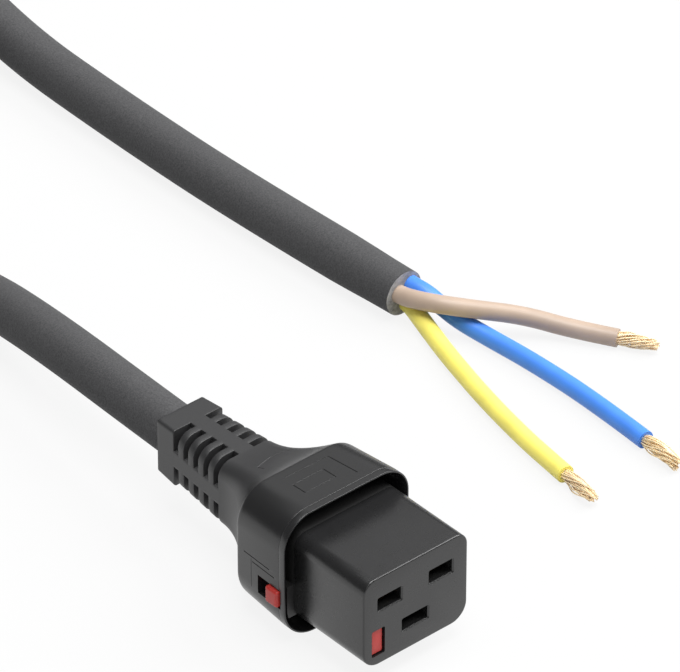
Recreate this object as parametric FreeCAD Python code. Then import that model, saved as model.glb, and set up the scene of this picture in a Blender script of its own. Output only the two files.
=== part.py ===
"""Locking appliance connector: a moulded three-pole socket on the end of a cut lead.

Frame: the pins enter along +Y, the lead leaves towards +Y, +Z is up and the
release button is on the -X side.  The origin is under the middle of the
connector, on the surface that its housing rests on.  Millimetres.
"""
import FreeCAD
import Part
import math
import os

from FreeCAD import Vector

# ---------------------------------------------------------------- driving sizes
OVERALL_LENGTH = 69.6      # mating face to the end of the strain relief
NOSE_WIDTH = 26.4
NOSE_HEIGHT = 20.8
NOSE_TOP_CORNER = 3.0
NOSE_BOTTOM_CORNER = 4.0
RECESS_GAP_SIDE = 1.7      # open gap between the nose and the housing's wall
RECESS_GAP_TOP = 3.1
RECESS_WALL = 1.0          # wall around the recess
HOUSING_TOP_CORNER = 7.0
HOUSING_BOTTOM_CORNER = 8.0
SIDE_DRAFT = 0.4           # by which each side leans in from the seam to the rear edge
TOP_DRAFT = 0.8            # ... and the top leans down; the underside stays level
UNDERSIDE_TRIM = 0.02      # taken off the underside, so that it is one true plane
CREASE_TOP_CORNER = 7.5
CREASE_BOTTOM_CORNER = 9.6

RIM_SETBACK = 20.0         # mating face to the front rim of the housing
SEAM_SETBACK = 21.6        # ... to the joint between bezel and overmould
RECESS_FLOOR_SETBACK = 28.0
CREASE_SETBACK = 34.3      # ... to the rear edge of the wide housing
NECK_SETBACK = 49.4        # ... to where the flare meets the strain relief

NECK_WIDTH = 14.6
NECK_HEIGHT = 15.6
NECK_CORNER = 4.0
LAST_RIB_CORNER = 3.0      # corner of the strain relief just before its end block
END_BLOCK_CORNER = 0.8
END_WALL_SIDE = 0.6        # end block's wall beside the lead
END_WALL_TOP = 1.0         # ... and above and below it
FLARE_SECTIONS = 6

POCKET_COUNT = 5           # flexing pockets along the strain relief
POCKET_PITCH = 3.27
POCKET_LENGTH = 1.5
LAST_POCKET_SETBACK = 63.5
SPINE_WIDTH = 3.8          # solid strip left along the middle of each side
CORE_WALL = 0.45           # wall left around the lead under the pockets

RIM_LIP = 0.6              # wall at the very edge of the rim
TONGUE_LENGTH = 1.5
TONGUE_WALL = 0.45

SLEEVE_LENGTH = 20.2       # grey nose sleeve, from the mating face
SLEEVE_WALL = 1.7
FACE_WALL = 0.8            # grey skin over the face
INSULATOR_FACE = 2.2       # mating face to the back of the black wall behind that skin
FIT = 0.05                 # clearance between parts pushed together
FLANGE_STEP_SIDE = 0.6      # flange beyond the nose's side
FLANGE_STEP_TOP = 1.4
CARRIER_REAR_SETBACK = 31.5
FLANGE_CORNER = 4.5

POLE_SPACING = 13.0        # line to neutral
EARTH_OFFSET = 8.0         # earth below the line of the other two
EARTH_BELOW_AXIS = 4.15    # earth slot centre below the middle of the housing
LINE_SLOT = (5.9, 3.0)
EARTH_SLOT = (6.5, 2.8)
SLOT_CHAMFER = 0.3
FACE_BEVEL = 0.35
LINE_CHAMBER = (7.4, 4.4)
EARTH_CHAMBER = (8.0, 4.6)

SHEET = 0.4                # contact strip
CONTACT_WIDTH = 5.6
CONTACT_LENGTH = 12.5
LINE_CONTACT_SETBACK = 2.9
EARTH_CONTACT_SETBACK = 7.9
PINCH = 0.85               # half gap at the contact's waist
CRIMP_LENGTH = 6.0
CRIMP_RADIUS = 1.75
CONDUCTOR_RADIUS = 1.05

SLIDE_GAP = 0.3            # running clearance round the release slide
SLIDE_TRAVEL = 2.8
BAR_WIDTH = 3.1
BAR_HEIGHT = 5.6
BAR_DROP = 0.85            # middle of the bar below the middle of the earth slot
BAR_OUTER_FROM_SIDE = 2.0  # bar to the nose's side
BAR_FRONT_SETBACK = 0.4
BAR_REAR_SETBACK = 26.4
BUTTON_SETBACK = 21.4
BUTTON_LENGTH = 3.5
BUTTON_HEIGHT = 3.8
BUTTON_PROUD = 0.8
BUTTON_ROUND = 0.6
GUIDE_WALL = 0.7
SPRING_COILS = 4
SPRING_WIRE = 0.4
SPRING_RADIUS = 1.1        # to the middle of the wire

PLATE_THICKNESS = 0.8
PLATE_HEIGHT = 4.2
PLATE_PIVOT_X = 5.6
PLATE_TAIL = 0.6           # plate beyond its pivot
PLATE_REACH = 1.2          # plate into the notch of the bar
PLATE_FACE_GAP = 0.1       # spare room in front of the leaning plate
PLATE_WINDOW = (5.8, 2.6)
PLATE_POCKET_END = 7.5

LEAD_DIAMETER = 10.8
CORE_DIAMETER = 3.6
JACKET_END_SETBACK = 44.0  # inner end of the lead's jacket
INNER_MOULD_WIDTH = 22.4
INNER_MOULD_HEIGHT = 17.6
INNER_MOULD_CORNER = 4.0
INNER_MOULD_BACK_WALL = 0.6
CHANNEL_CLEARANCE = 0.15
LEAD_CLEARANCE = 0.12       # lead in the strain relief

COIL_CENTRE = (10.8, 240.0)
COIL_OUTER_TURN = 61.2     # radius of the outer turns
COIL_COLUMNS = 3
COIL_LAYERS = 2
ENTRY_CLEARANCE = 1.4
TIE_WIDTH = 12.0
TIE_THICKNESS = 1.4

# ---------------------------------------------------------------- derived places
FACE_Y = -OVERALL_LENGTH / 2
END_Y = OVERALL_LENGTH / 2
HOUSING_WIDTH = NOSE_WIDTH + 2 * (RECESS_GAP_SIDE + RECESS_WALL)
HOUSING_HEIGHT = NOSE_HEIGHT + 2 * (RECESS_GAP_TOP + RECESS_WALL)
PLATE_PIVOT_SETBACK = INSULATOR_FACE + SLIDE_TRAVEL + PLATE_THICKNESS + PLATE_FACE_GAP
CREASE_WIDTH = HOUSING_WIDTH - 2 * SIDE_DRAFT
CREASE_HEIGHT = HOUSING_HEIGHT - TOP_DRAFT + UNDERSIDE_TRIM
CREASE_Z = CREASE_HEIGHT / 2 - UNDERSIDE_TRIM
CREASE_CORNERS = (CREASE_TOP_CORNER, CREASE_BOTTOM_CORNER)
END_WIDTH = LEAD_DIAMETER + 2 * END_WALL_SIDE
END_HEIGHT = LEAD_DIAMETER + 2 * END_WALL_TOP
CARRIER_FLANGE_WIDTH = NOSE_WIDTH + 2 * FLANGE_STEP_SIDE
CARRIER_FLANGE_HEIGHT = NOSE_HEIGHT + 2 * FLANGE_STEP_TOP
AXIS_Z = HOUSING_HEIGHT / 2
EARTH_HEIGHT = AXIS_Z - EARTH_BELOW_AXIS
LINE_HEIGHT = EARTH_HEIGHT + EARTH_OFFSET
LEAD_RADIUS = LEAD_DIAMETER / 2
CORE_RADIUS = CORE_DIAMETER / 2
BAR_LEFT = -NOSE_WIDTH / 2 + BAR_OUTER_FROM_SIDE
BAR_RIGHT = BAR_LEFT + BAR_WIDTH
BAR_LOW = EARTH_HEIGHT - BAR_DROP - BAR_HEIGHT / 2
BAR_HIGH = BAR_LOW + BAR_HEIGHT
BUTTON_LOW = EARTH_HEIGHT - BUTTON_HEIGHT / 2
BUTTON_HIGH = EARTH_HEIGHT + BUTTON_HEIGHT / 2
BAR_MIDDLE_X = (BAR_LEFT + BAR_RIGHT) / 2
PLUG_WIDTH = NOSE_WIDTH - 2 * SLEEVE_WALL
PLUG_HEIGHT = NOSE_HEIGHT - 2 * SLEEVE_WALL
RECESS_WIDTH = HOUSING_WIDTH - 2 * RECESS_WALL
RECESS_HEIGHT = HOUSING_HEIGHT - 2 * RECESS_WALL
HOUSING_CORNERS = (HOUSING_TOP_CORNER, HOUSING_BOTTOM_CORNER)
RECESS_CORNERS = tuple(corner - RECESS_WALL for corner in HOUSING_CORNERS)
RELIEF_BLOCK_SETBACK = LAST_POCKET_SETBACK + POCKET_LENGTH / 2
COIL_PITCH = LEAD_DIAMETER
COIL_INNER_TURN = COIL_OUTER_TURN - (COIL_COLUMNS - 1) * COIL_PITCH
TOP_LAYER_HEIGHT = LEAD_RADIUS + (COIL_LAYERS - 1) * COIL_PITCH


def at(setback):
    """Y of a place given by its distance behind the mating face."""
    return FACE_Y + setback


# ---------------------------------------------------------------- shape helpers
def rounded_rectangle(y, width, height, top_corner, bottom_corner=None, z=AXIS_Z, x=0.0):
    """Closed wire across Y: four straight sides joined by quarter arcs."""
    bottom_corner = top_corner if bottom_corner is None else bottom_corner
    corners = (
        (1, 1, top_corner), (-1, 1, top_corner), (-1, -1, bottom_corner), (1, -1, bottom_corner),
    )
    edges = []
    for index, (sx, sz, radius) in enumerate(corners):
        start = math.radians(90 * index)
        centre = Vector(x + sx * (width / 2 - radius), y, z + sz * (height / 2 - radius))
        arc_points = [
            centre + Vector(radius * math.cos(start + turn), 0, radius * math.sin(start + turn))
            for turn in (0, math.pi / 4, math.pi / 2)
        ]
        edges.append(arc_points)
    wire = []
    for index, arc_points in enumerate(edges):
        wire.append(Part.Arc(*arc_points).toShape())
        wire.append(Part.LineSegment(arc_points[2], edges[(index + 1) % 4][0]).toShape())
    return Part.Wire(wire)


def block(y0, y1, width, height, top_corner, bottom_corner=None, z=AXIS_Z, x=0.0):
    """Rounded rectangle carried straight along Y."""
    face = Part.Face(rounded_rectangle(y0, width, height, top_corner, bottom_corner, z, x))
    return face.extrude(Vector(0, y1 - y0, 0))


def box(x0, x1, y0, y1, z0, z1):
    """Plain box between two corners."""
    return Part.makeBox(x1 - x0, y1 - y0, z1 - z0, Vector(x0, y0, z0))


def centred_box(x, z, size, y0, y1):
    """Box along Y round the line (x, z); size is (width, height)."""
    return box(x - size[0] / 2, x + size[0] / 2, y0, y1, z - size[1] / 2, z + size[1] / 2)


def loft(sections):
    """Solid through a list of closed wires, straight from each to the next."""
    return Part.makeLoft(sections, True, True)


def cylinder_y(radius, y0, y1, x=0.0, z=AXIS_Z):
    """Cylinder along Y."""
    return Part.makeCylinder(radius, y1 - y0, Vector(x, y0, z), Vector(0, 1, 0))


def strip(points, thickness, x, width):
    """Sheet strip bent along points (y, z), centred on them, and width wide along X."""
    sides = []
    for side in (1, -1):
        edge = []
        for index, (y, z) in enumerate(points):
            before = points[max(index - 1, 0)]
            after = points[min(index + 1, len(points) - 1)]
            run_in = Vector(0, y - before[0], z - before[1])
            run_out = Vector(0, after[0] - y, after[1] - z)
            runs = [run for run in (run_in, run_out) if run.Length > 1e-9]
            normals = [Vector(0, -run.z, run.y).normalize() for run in runs]
            middle = normals[0] + normals[-1]
            offset = middle * (thickness * side / (middle.dot(normals[0]) * 2))
            edge.append(Vector(x - width / 2, y, z) + offset)
        sides.append(edge)
    outline = sides[0] + sides[1][::-1]
    face = Part.Face(Part.makePolygon(outline + outline[:1]))
    return face.extrude(Vector(width, 0, 0))


def cord_path(points):
    """Straight runs joined by arcs as large as the runs allow; returns wire and radii."""
    points = [Vector(*point) for point in points]
    edges, radii = [], []
    start = points[0]
    for before, corner, after in zip(points, points[1:], points[2:]):
        run_in = (corner - before).normalize()
        run_out = (after - corner).normalize()
        turn = run_in.getAngle(run_out)
        reach = 0.45 * min((corner - before).Length, (after - corner).Length)
        radius = reach / math.tan(turn / 2)
        first = corner - run_in * reach
        last = corner + run_out * reach
        centre = corner + (run_out - run_in).normalize() * (radius / math.cos(turn / 2))
        middle = centre + (corner - centre).normalize() * radius
        edges.append(Part.LineSegment(start, first).toShape())
        edges.append(Part.Arc(first, middle, last).toShape())
        radii.append(round(radius, 1))
        start = last
    edges.append(Part.LineSegment(start, points[-1]).toShape())
    return Part.Wire(edges), radii


def cord_tube(name, points, radius):
    """Round cord of one radius along a route."""
    wire, radii = cord_path(points)
    start = Vector(*points[0])
    heading = Vector(*points[1]) - start
    section = Part.Wire([Part.makeCircle(radius, start, heading)])
    tube = wire.makePipeShell([section], True, False)
    expected = math.pi * radius ** 2 * wire.Length
    ratio = round(tube.Volume / expected, 4)
    print(name, "length", round(wire.Length, 1), "radii", radii, "volume ratio", ratio)
    return tube


# ---------------------------------------------------------------- moulded covers
def strain_relief_pockets():
    """Cross slots round the four corners, stopping at the spines and the core."""
    core = cylinder_y(LEAD_RADIUS + CORE_WALL, at(NECK_SETBACK), END_Y)
    reach = HOUSING_WIDTH
    spine = SPINE_WIDTH / 2
    pockets = []
    for index in range(POCKET_COUNT):
        middle = at(LAST_POCKET_SETBACK - index * POCKET_PITCH)
        y0, y1 = middle - POCKET_LENGTH / 2, middle + POCKET_LENGTH / 2
        for sx in (-1, 1):
            for sz in (-1, 1):
                x_ends = sorted((sx * spine, sx * reach))
                z_ends = sorted((AXIS_Z + sz * spine, AXIS_Z + sz * reach))
                pockets.append(box(x_ends[0], x_ends[1], y0, y1, z_ends[0], z_ends[1]).cut(core))
    return Part.makeCompound(pockets)


def flare():
    """Hollow neck: a parabola from the housing's rear edge that ends level with the strain relief."""
    sections = []
    for index in range(FLARE_SECTIONS):
        way = index / (FLARE_SECTIONS - 1)
        spread = (1 - way) ** 2
        y = at(CREASE_SETBACK) + (NECK_SETBACK - CREASE_SETBACK) * way
        width = NECK_WIDTH + (CREASE_WIDTH - NECK_WIDTH) * spread
        height = NECK_HEIGHT + (CREASE_HEIGHT - NECK_HEIGHT) * spread
        corners = [NECK_CORNER + (corner - NECK_CORNER) * spread for corner in CREASE_CORNERS]
        z = AXIS_Z + (CREASE_Z - AXIS_Z) * spread
        sections.append(rounded_rectangle(y, width, height, *corners, z=z))
    return loft(sections)


def strain_relief():
    """Tapered sleeve with rounded ribs, ending in a block with nearly sharp edges."""
    way = (RELIEF_BLOCK_SETBACK - NECK_SETBACK) / (OVERALL_LENGTH - NECK_SETBACK)
    width = NECK_WIDTH + (END_WIDTH - NECK_WIDTH) * way
    height = NECK_HEIGHT + (END_HEIGHT - NECK_HEIGHT) * way
    neck = rounded_rectangle(at(NECK_SETBACK), NECK_WIDTH, NECK_HEIGHT, NECK_CORNER)
    last_rib = rounded_rectangle(at(RELIEF_BLOCK_SETBACK), width, height, LAST_RIB_CORNER)
    block_front = rounded_rectangle(at(RELIEF_BLOCK_SETBACK), width, height, END_BLOCK_CORNER)
    block_end = rounded_rectangle(END_Y, END_WIDTH, END_HEIGHT, END_BLOCK_CORNER)
    ribs = loft([neck, last_rib]).cut(strain_relief_pockets())
    return ribs.fuse(loft([block_front, block_end]))


def inner_mould_form():
    """Outer form of the inner mould, also cut out of the overmould."""
    front = rounded_rectangle(
        at(CARRIER_REAR_SETBACK), INNER_MOULD_WIDTH, INNER_MOULD_HEIGHT, INNER_MOULD_CORNER,
    )
    back_width = LEAD_DIAMETER + 2 * INNER_MOULD_BACK_WALL
    back = rounded_rectangle(at(JACKET_END_SETBACK), back_width, back_width, INNER_MOULD_CORNER)
    return loft([front, back])


def button_window():
    """Opening in the housing's side that the release button slides in."""
    rear = BUTTON_SETBACK + BUTTON_LENGTH + SLIDE_TRAVEL + SLIDE_GAP
    front = BUTTON_SETBACK - SLIDE_GAP
    inner = -CARRIER_FLANGE_WIDTH / 2 + FIT
    low, high = BUTTON_LOW - SLIDE_GAP, BUTTON_HIGH + SLIDE_GAP
    return box(-HOUSING_WIDTH, inner, at(front), at(rear), low, high)


def overmould_body():
    """Wide housing, flare and strain relief in one moulding."""
    height = HOUSING_HEIGHT + UNDERSIDE_TRIM
    z = AXIS_Z - UNDERSIDE_TRIM / 2
    body = loft([
        rounded_rectangle(at(SEAM_SETBACK), HOUSING_WIDTH, height, *HOUSING_CORNERS, z=z),
        rounded_rectangle(at(CREASE_SETBACK), CREASE_WIDTH, CREASE_HEIGHT, *CREASE_CORNERS, z=CREASE_Z),
    ])
    body = body.fuse([flare(), strain_relief()])
    recess = block(
        at(SEAM_SETBACK), at(RECESS_FLOOR_SETBACK), RECESS_WIDTH, RECESS_HEIGHT, *RECESS_CORNERS,
    )
    rebate = tongue_outline(at(SEAM_SETBACK), at(SEAM_SETBACK + TONGUE_LENGTH))
    seat = block(
        at(RECESS_FLOOR_SETBACK), at(CARRIER_REAR_SETBACK),
        CARRIER_FLANGE_WIDTH, CARRIER_FLANGE_HEIGHT, FLANGE_CORNER,
    )
    lead_bore = cylinder_y(LEAD_RADIUS + LEAD_CLEARANCE, at(JACKET_END_SETBACK), END_Y)
    trim = box(-HOUSING_WIDTH, HOUSING_WIDTH, at(SEAM_SETBACK), END_Y, -HOUSING_HEIGHT, 0)
    body = body.cut([trim, recess, rebate, seat, inner_mould_form(), lead_bore, button_window()])
    return body.removeSplitter()


def tongue_outline(y0, y1):
    """Outside of the bezel's tongue, and of the rebate that it fills."""
    grow = 2 * TONGUE_WALL
    corners = [corner + TONGUE_WALL for corner in RECESS_CORNERS]
    return block(y0, y1, RECESS_WIDTH + grow, RECESS_HEIGHT + grow, *corners)


def front_bezel():
    """Thin-edged ring in front of the seam, with a tongue inside the overmould."""
    ring = block(at(RIM_SETBACK), at(SEAM_SETBACK), HOUSING_WIDTH, HOUSING_HEIGHT, *HOUSING_CORNERS)
    ring = ring.fuse(tongue_outline(at(SEAM_SETBACK), at(SEAM_SETBACK + TONGUE_LENGTH)))
    rim_corners = [corner - RIM_LIP for corner in HOUSING_CORNERS]
    mouth = loft([
        rounded_rectangle(
            at(RIM_SETBACK), HOUSING_WIDTH - 2 * RIM_LIP, HOUSING_HEIGHT - 2 * RIM_LIP, *rim_corners,
        ),
        rounded_rectangle(at(SEAM_SETBACK), RECESS_WIDTH, RECESS_HEIGHT, *RECESS_CORNERS),
    ])
    tongue_end = at(SEAM_SETBACK + TONGUE_LENGTH)
    bore = block(at(SEAM_SETBACK), tongue_end, RECESS_WIDTH, RECESS_HEIGHT, *RECESS_CORNERS)
    return ring.cut([mouth, bore, button_window()]).removeSplitter()


# ---------------------------------------------------------------- insulators
def contact_places():
    """(name, x, z, slot, chamber, contact setback) of the three poles, seen from the mating face."""
    half = POLE_SPACING / 2
    return (
        ("live", -half, LINE_HEIGHT, LINE_SLOT, LINE_CHAMBER, LINE_CONTACT_SETBACK),
        ("neutral", half, LINE_HEIGHT, LINE_SLOT, LINE_CHAMBER, LINE_CONTACT_SETBACK),
        ("earth", 0.0, EARTH_HEIGHT, EARTH_SLOT, EARTH_CHAMBER, EARTH_CONTACT_SETBACK),
    )


def slide_channel(y0, y1):
    """Room for the release bar, with its running clearance."""
    low, high = BAR_LOW - SLIDE_GAP, BAR_HIGH + SLIDE_GAP
    return box(BAR_LEFT - SLIDE_GAP, BAR_RIGHT + SLIDE_GAP, y0, y1, low, high)


def nose_sleeve():
    """Grey front sleeve: face with the pin slots and the bar's window, open at the back."""
    sleeve = block(at(0), at(SLEEVE_LENGTH), NOSE_WIDTH, NOSE_HEIGHT, NOSE_TOP_CORNER, NOSE_BOTTOM_CORNER)
    outline = [edge for edge in sleeve.Edges if abs(edge.BoundBox.YMax - FACE_Y) < 1e-6]
    sleeve = sleeve.makeChamfer(FACE_BEVEL, outline)
    inside = block(
        at(FACE_WALL), at(SLEEVE_LENGTH), PLUG_WIDTH, PLUG_HEIGHT,
        NOSE_TOP_CORNER - SLEEVE_WALL, NOSE_BOTTOM_CORNER - SLEEVE_WALL,
    )
    cuts = [inside, slide_channel(at(-1), at(SLEEVE_LENGTH))]
    for _, x, z, slot, _, _ in contact_places():
        cuts.append(centred_box(x, z, slot, at(-1), at(FACE_WALL)))
        mouth = [
            Part.makePolygon([
                Vector(x + sx * (slot[0] / 2 + grow), y, z + sz * (slot[1] / 2 + grow))
                for sx, sz in ((1, 1), (-1, 1), (-1, -1), (1, -1), (1, 1))
            ])
            for y, grow in ((at(0), SLOT_CHAMFER), (at(SLOT_CHAMFER), 0.0))
        ]
        cuts.append(loft(mouth))
    return sleeve.cut(cuts)


def contact_carrier():
    """Black insulator: plug inside the sleeve, collar behind it, flange in the overmould."""
    plug = block(
        at(FACE_WALL + FIT), at(SLEEVE_LENGTH), PLUG_WIDTH - 2 * FIT, PLUG_HEIGHT - 2 * FIT,
        NOSE_TOP_CORNER - SLEEVE_WALL, NOSE_BOTTOM_CORNER - SLEEVE_WALL,
    )
    collar = block(
        at(SLEEVE_LENGTH), at(RECESS_FLOOR_SETBACK), NOSE_WIDTH, NOSE_HEIGHT, NOSE_TOP_CORNER, NOSE_BOTTOM_CORNER,
    )
    flange = block(
        at(RECESS_FLOOR_SETBACK), at(CARRIER_REAR_SETBACK), CARRIER_FLANGE_WIDTH - 2 * FIT,
        CARRIER_FLANGE_HEIGHT - 2 * FIT, FLANGE_CORNER,
    )
    guide_front = at(BUTTON_SETBACK - SLIDE_GAP - GUIDE_WALL)
    arm_rear = at(BUTTON_SETBACK + BUTTON_LENGTH + SLIDE_TRAVEL + SLIDE_GAP)
    recess_fill = block(
        guide_front, at(RECESS_FLOOR_SETBACK), RECESS_WIDTH - 4 * FIT, RECESS_HEIGHT - 4 * FIT,
        *[corner - 2 * FIT for corner in RECESS_CORNERS],
    )
    guide = box(
        -RECESS_WIDTH / 2, BAR_LEFT, guide_front, at(RECESS_FLOOR_SETBACK),
        BAR_LOW - SLIDE_GAP - GUIDE_WALL, BAR_HIGH + SLIDE_GAP + GUIDE_WALL,
    ).common(recess_fill)
    arm_room = box(
        -RECESS_WIDTH / 2, BAR_LEFT, at(BUTTON_SETBACK - SLIDE_GAP), arm_rear,
        BUTTON_LOW - SLIDE_GAP, BUTTON_HIGH + SLIDE_GAP,
    )
    cuts = [slide_channel(at(0), at(CARRIER_REAR_SETBACK)), arm_room, plate_pocket()]
    for name, x, z, slot, chamber, _ in contact_places():
        front = PLATE_POCKET_END if name == "earth" else INSULATOR_FACE
        cuts.append(centred_box(x, z, chamber, at(front), at(CARRIER_REAR_SETBACK)))
        cuts.append(centred_box(x, z, slot, at(0), at(INSULATOR_FACE)))
    return plug.fuse([collar, flange, guide]).cut(cuts).removeSplitter()


def plate_pocket():
    """Room between face and earth contact in which the lock plate tilts."""
    half = PLATE_HEIGHT / 2 + SLIDE_GAP
    right = PLATE_PIVOT_X + PLATE_TAIL + SLIDE_GAP
    low, high = EARTH_HEIGHT - half, EARTH_HEIGHT + half
    return box(BAR_RIGHT, right, at(INSULATOR_FACE), at(PLATE_POCKET_END), low, high)


def lead_routes():
    """Route of each pole's core from its crimp to the end of the jacket."""
    spread = CORE_RADIUS * 1.16
    places = {"live": (-spread, 1.05), "neutral": (spread, 1.05), "earth": (0.0, -2.1)}
    routes = {}
    for name, x, z, _, _, setback in contact_places():
        end_x, end_z = places[name][0], AXIS_Z + places[name][1]
        crimp_end = setback + CONTACT_LENGTH + 1.5 + CRIMP_LENGTH
        routes[name] = (
            (x, at(crimp_end + 0.3), z),
            (x, at(CARRIER_REAR_SETBACK + 1.0), z),
            (end_x, at(JACKET_END_SETBACK - 3.0), end_z),
            (end_x, at(JACKET_END_SETBACK), end_z),
        )
    return routes


def inner_mould():
    """Premould that holds the cores between the crimps and the jacket."""
    mould = inner_mould_form()
    channels = []
    for name, route in lead_routes().items():
        wire, _ = cord_path(route)
        start = Vector(*route[0])
        circle = Part.makeCircle(CORE_RADIUS + CHANNEL_CLEARANCE, start, Vector(0, 1, 0))
        section = Part.Wire([circle])
        channels.append(wire.makePipeShell([section], True, False))
    return mould.cut(channels)


# ---------------------------------------------------------------- contacts and cores
def contact(x, z, setback):
    """Folded spring receptacle: flared mouth, waist that grips the pin, closed box and crimp."""
    y0 = at(setback)
    y1 = y0 + CONTACT_LENGTH
    leaf = (
        (y0, z + PINCH + 0.75),
        (y0 + 2.6, z + PINCH + SHEET / 2),
        (y0 + 5.0, z + PINCH + 0.5),
        (y1 - 1.0, z + PINCH + 0.5),
    )
    fold = leaf + ((y1, z + 0.5), (y1, z - 0.5)) + tuple((y, 2 * z - height) for y, height in leaf[::-1])
    receptacle = strip(fold, SHEET, x, CONTACT_WIDTH)
    tang = box(x - 1.0, x + 1.0, y1, y1 + 1.7, z - 0.6, z - 0.6 + SHEET)
    crimp_start = y1 + 1.5
    barrel = cylinder_y(CRIMP_RADIUS, crimp_start, crimp_start + CRIMP_LENGTH, x, z)
    barrel = barrel.cut(cylinder_y(CONDUCTOR_RADIUS + FIT, crimp_start, crimp_start + CRIMP_LENGTH, x, z))
    neck = box(x - 1.0, x + 1.0, y1 + 1.2, crimp_start + 1.0, z - CRIMP_RADIUS + 0.1, z - CONDUCTOR_RADIUS - 0.15)
    riser = box(x - 1.0, x + 1.0, y1 + 1.2, y1 + 1.2 + SHEET, z - CRIMP_RADIUS + 0.1, z - 0.6 + SHEET)
    return receptacle.fuse([tang, barrel, neck, riser]).removeSplitter()


def core_lead(name, route):
    """Insulated core inside the connector, with its bared conductor in the crimp."""
    insulation = cord_tube(name, route, CORE_RADIUS)
    start = Vector(*route[0])
    conductor = cylinder_y(CONDUCTOR_RADIUS, start.y - CRIMP_LENGTH, start.y, start.x, start.z)
    return insulation.fuse(conductor)


# ---------------------------------------------------------------- locking mechanism
def plate_turn():
    """Angle by which the plate leans forward at rest, so that full travel squares it up."""
    return math.asin(SLIDE_TRAVEL / (PLATE_PIVOT_X - BAR_RIGHT))


def lock_plate():
    """Steel plate with a window for the earth pin; it pivots at its right end."""
    left = BAR_RIGHT - PLATE_REACH
    right = PLATE_PIVOT_X + PLATE_TAIL
    y = at(PLATE_PIVOT_SETBACK)
    half = PLATE_THICKNESS / 2
    low, high = EARTH_HEIGHT - PLATE_HEIGHT / 2, EARTH_HEIGHT + PLATE_HEIGHT / 2
    plate = box(left, right, y - half, y + half, low, high)
    window = centred_box(0.0, EARTH_HEIGHT, PLATE_WINDOW, y - 1, y + 1)
    plate = plate.cut(window)
    plate.rotate(Vector(PLATE_PIVOT_X, y, EARTH_HEIGHT), Vector(0, 0, 1), math.degrees(plate_turn()))
    return plate


def release_slide():
    """Red slide: bar along the nose, button through the housing's side, notch for the plate."""
    bar = box(BAR_LEFT, BAR_RIGHT, at(BAR_FRONT_SETBACK), at(BAR_REAR_SETBACK), BAR_LOW, BAR_HIGH)
    outer = -HOUSING_WIDTH / 2 - BUTTON_PROUD
    arm = box(
        outer, BAR_LEFT, at(BUTTON_SETBACK), at(BUTTON_SETBACK + BUTTON_LENGTH), BUTTON_LOW, BUTTON_HIGH,
    )
    rounded = [edge for edge in arm.Edges if abs(edge.BoundBox.XMax - outer) < 1e-6]
    arm = arm.makeFillet(BUTTON_ROUND, rounded)
    reach = PLATE_PIVOT_X - BAR_RIGHT + PLATE_REACH / 2
    notch_y = at(PLATE_PIVOT_SETBACK) - reach * math.sin(plate_turn())
    half = PLATE_THICKNESS / 2 + SLIDE_GAP
    notch_left = BAR_RIGHT - PLATE_REACH - SLIDE_GAP
    notch = box(notch_left, BAR_RIGHT, notch_y - half, notch_y + half, BAR_LOW, BAR_HIGH)
    return bar.fuse(arm).cut(notch).removeSplitter()


def lock_spring():
    """Compression spring behind the bar, resting on the inner mould."""
    length = CARRIER_REAR_SETBACK - BAR_REAR_SETBACK - SPRING_WIRE
    pitch = (length - 0.1) / SPRING_COILS
    helix = Part.makeHelix(pitch, pitch * SPRING_COILS, SPRING_RADIUS)
    quarters = [math.pi / 2 * quarter for quarter in (0, 1, 2, 3, 0)]
    sides = [Vector(math.cos(turn), 0, math.sin(turn)) * (SPRING_WIRE / 2) for turn in quarters]
    section = Part.makePolygon([Vector(SPRING_RADIUS, 0, 0) + side for side in sides])
    spring = Part.Wire(helix).makePipeShell([section], True, True)
    spring.rotate(Vector(0, 0, 0), Vector(1, 0, 0), -90)
    spring.translate(Vector(BAR_MIDDLE_X, at(BAR_REAR_SETBACK) + SPRING_WIRE / 2 + 0.05, EARTH_HEIGHT))
    return spring


# ---------------------------------------------------------------- lead, coil and bared cores
LEAD_ROUTE = (
    (0.0, at(JACKET_END_SETBACK), AXIS_Z),
    (0.0, 43.5, AXIS_Z),
    (3.0, 79.0, 12.5),
    (8.4, 110.0, 5.7),
    (-1.0, 142.0, LEAD_RADIUS),
    (-35.0, 178.0, LEAD_RADIUS),
    (COIL_CENTRE[0] - COIL_OUTER_TURN, 209.0, LEAD_RADIUS),
    (COIL_CENTRE[0] - COIL_OUTER_TURN, COIL_CENTRE[1], LEAD_RADIUS),
)
TAIL_ROUTE = (
    (COIL_CENTRE[0] + COIL_OUTER_TURN, COIL_CENTRE[1], TOP_LAYER_HEIGHT),
    (COIL_CENTRE[0] + COIL_OUTER_TURN, 212.0, TOP_LAYER_HEIGHT),
    (70.9, 178.0, 5.7),
    (70.4, 138.0, LEAD_RADIUS),
    (70.9, 96.0, LEAD_RADIUS),
    (74.2, 51.7, LEAD_RADIUS),
)
CORE_ROUTES = {
    "brown": (
        (72.1, 51.15, 5.9), (72.4, 46.2, 7.0), (74.8, 41.0, 7.5), (79.6, 36.2, 6.6),
        (87.4, 30.4, 4.3), (93.2, 22.3, 2.2), (98.6, 14.3, 1.8),
    ),
    "blue": (
        (75.8, 51.45, 7.0), (76.0, 47.6, 6.4), (76.7, 43.8, 4.9), (77.9, 39.4, 2.9),
        (79.4, 32.6, 1.8), (80.5, 20.0, 1.8), (80.8, 2.0, 1.8), (79.7, -14.1, 1.8),
    ),
    "yellow": (
        (74.7, 51.4, 3.3), (74.5, 47.4, 2.8), (73.1, 41.8, 2.1), (70.4, 33.0, 1.8),
        (66.3, 17.0, 1.8), (63.3, 2.6, 1.8), (61.5, -5.6, 1.8), (60.4, -11.9, 1.8),
    ),
}
STRAND_LENGTHS = {"brown": 9.1, "blue": 10.2, "yellow": 9.7}


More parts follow.
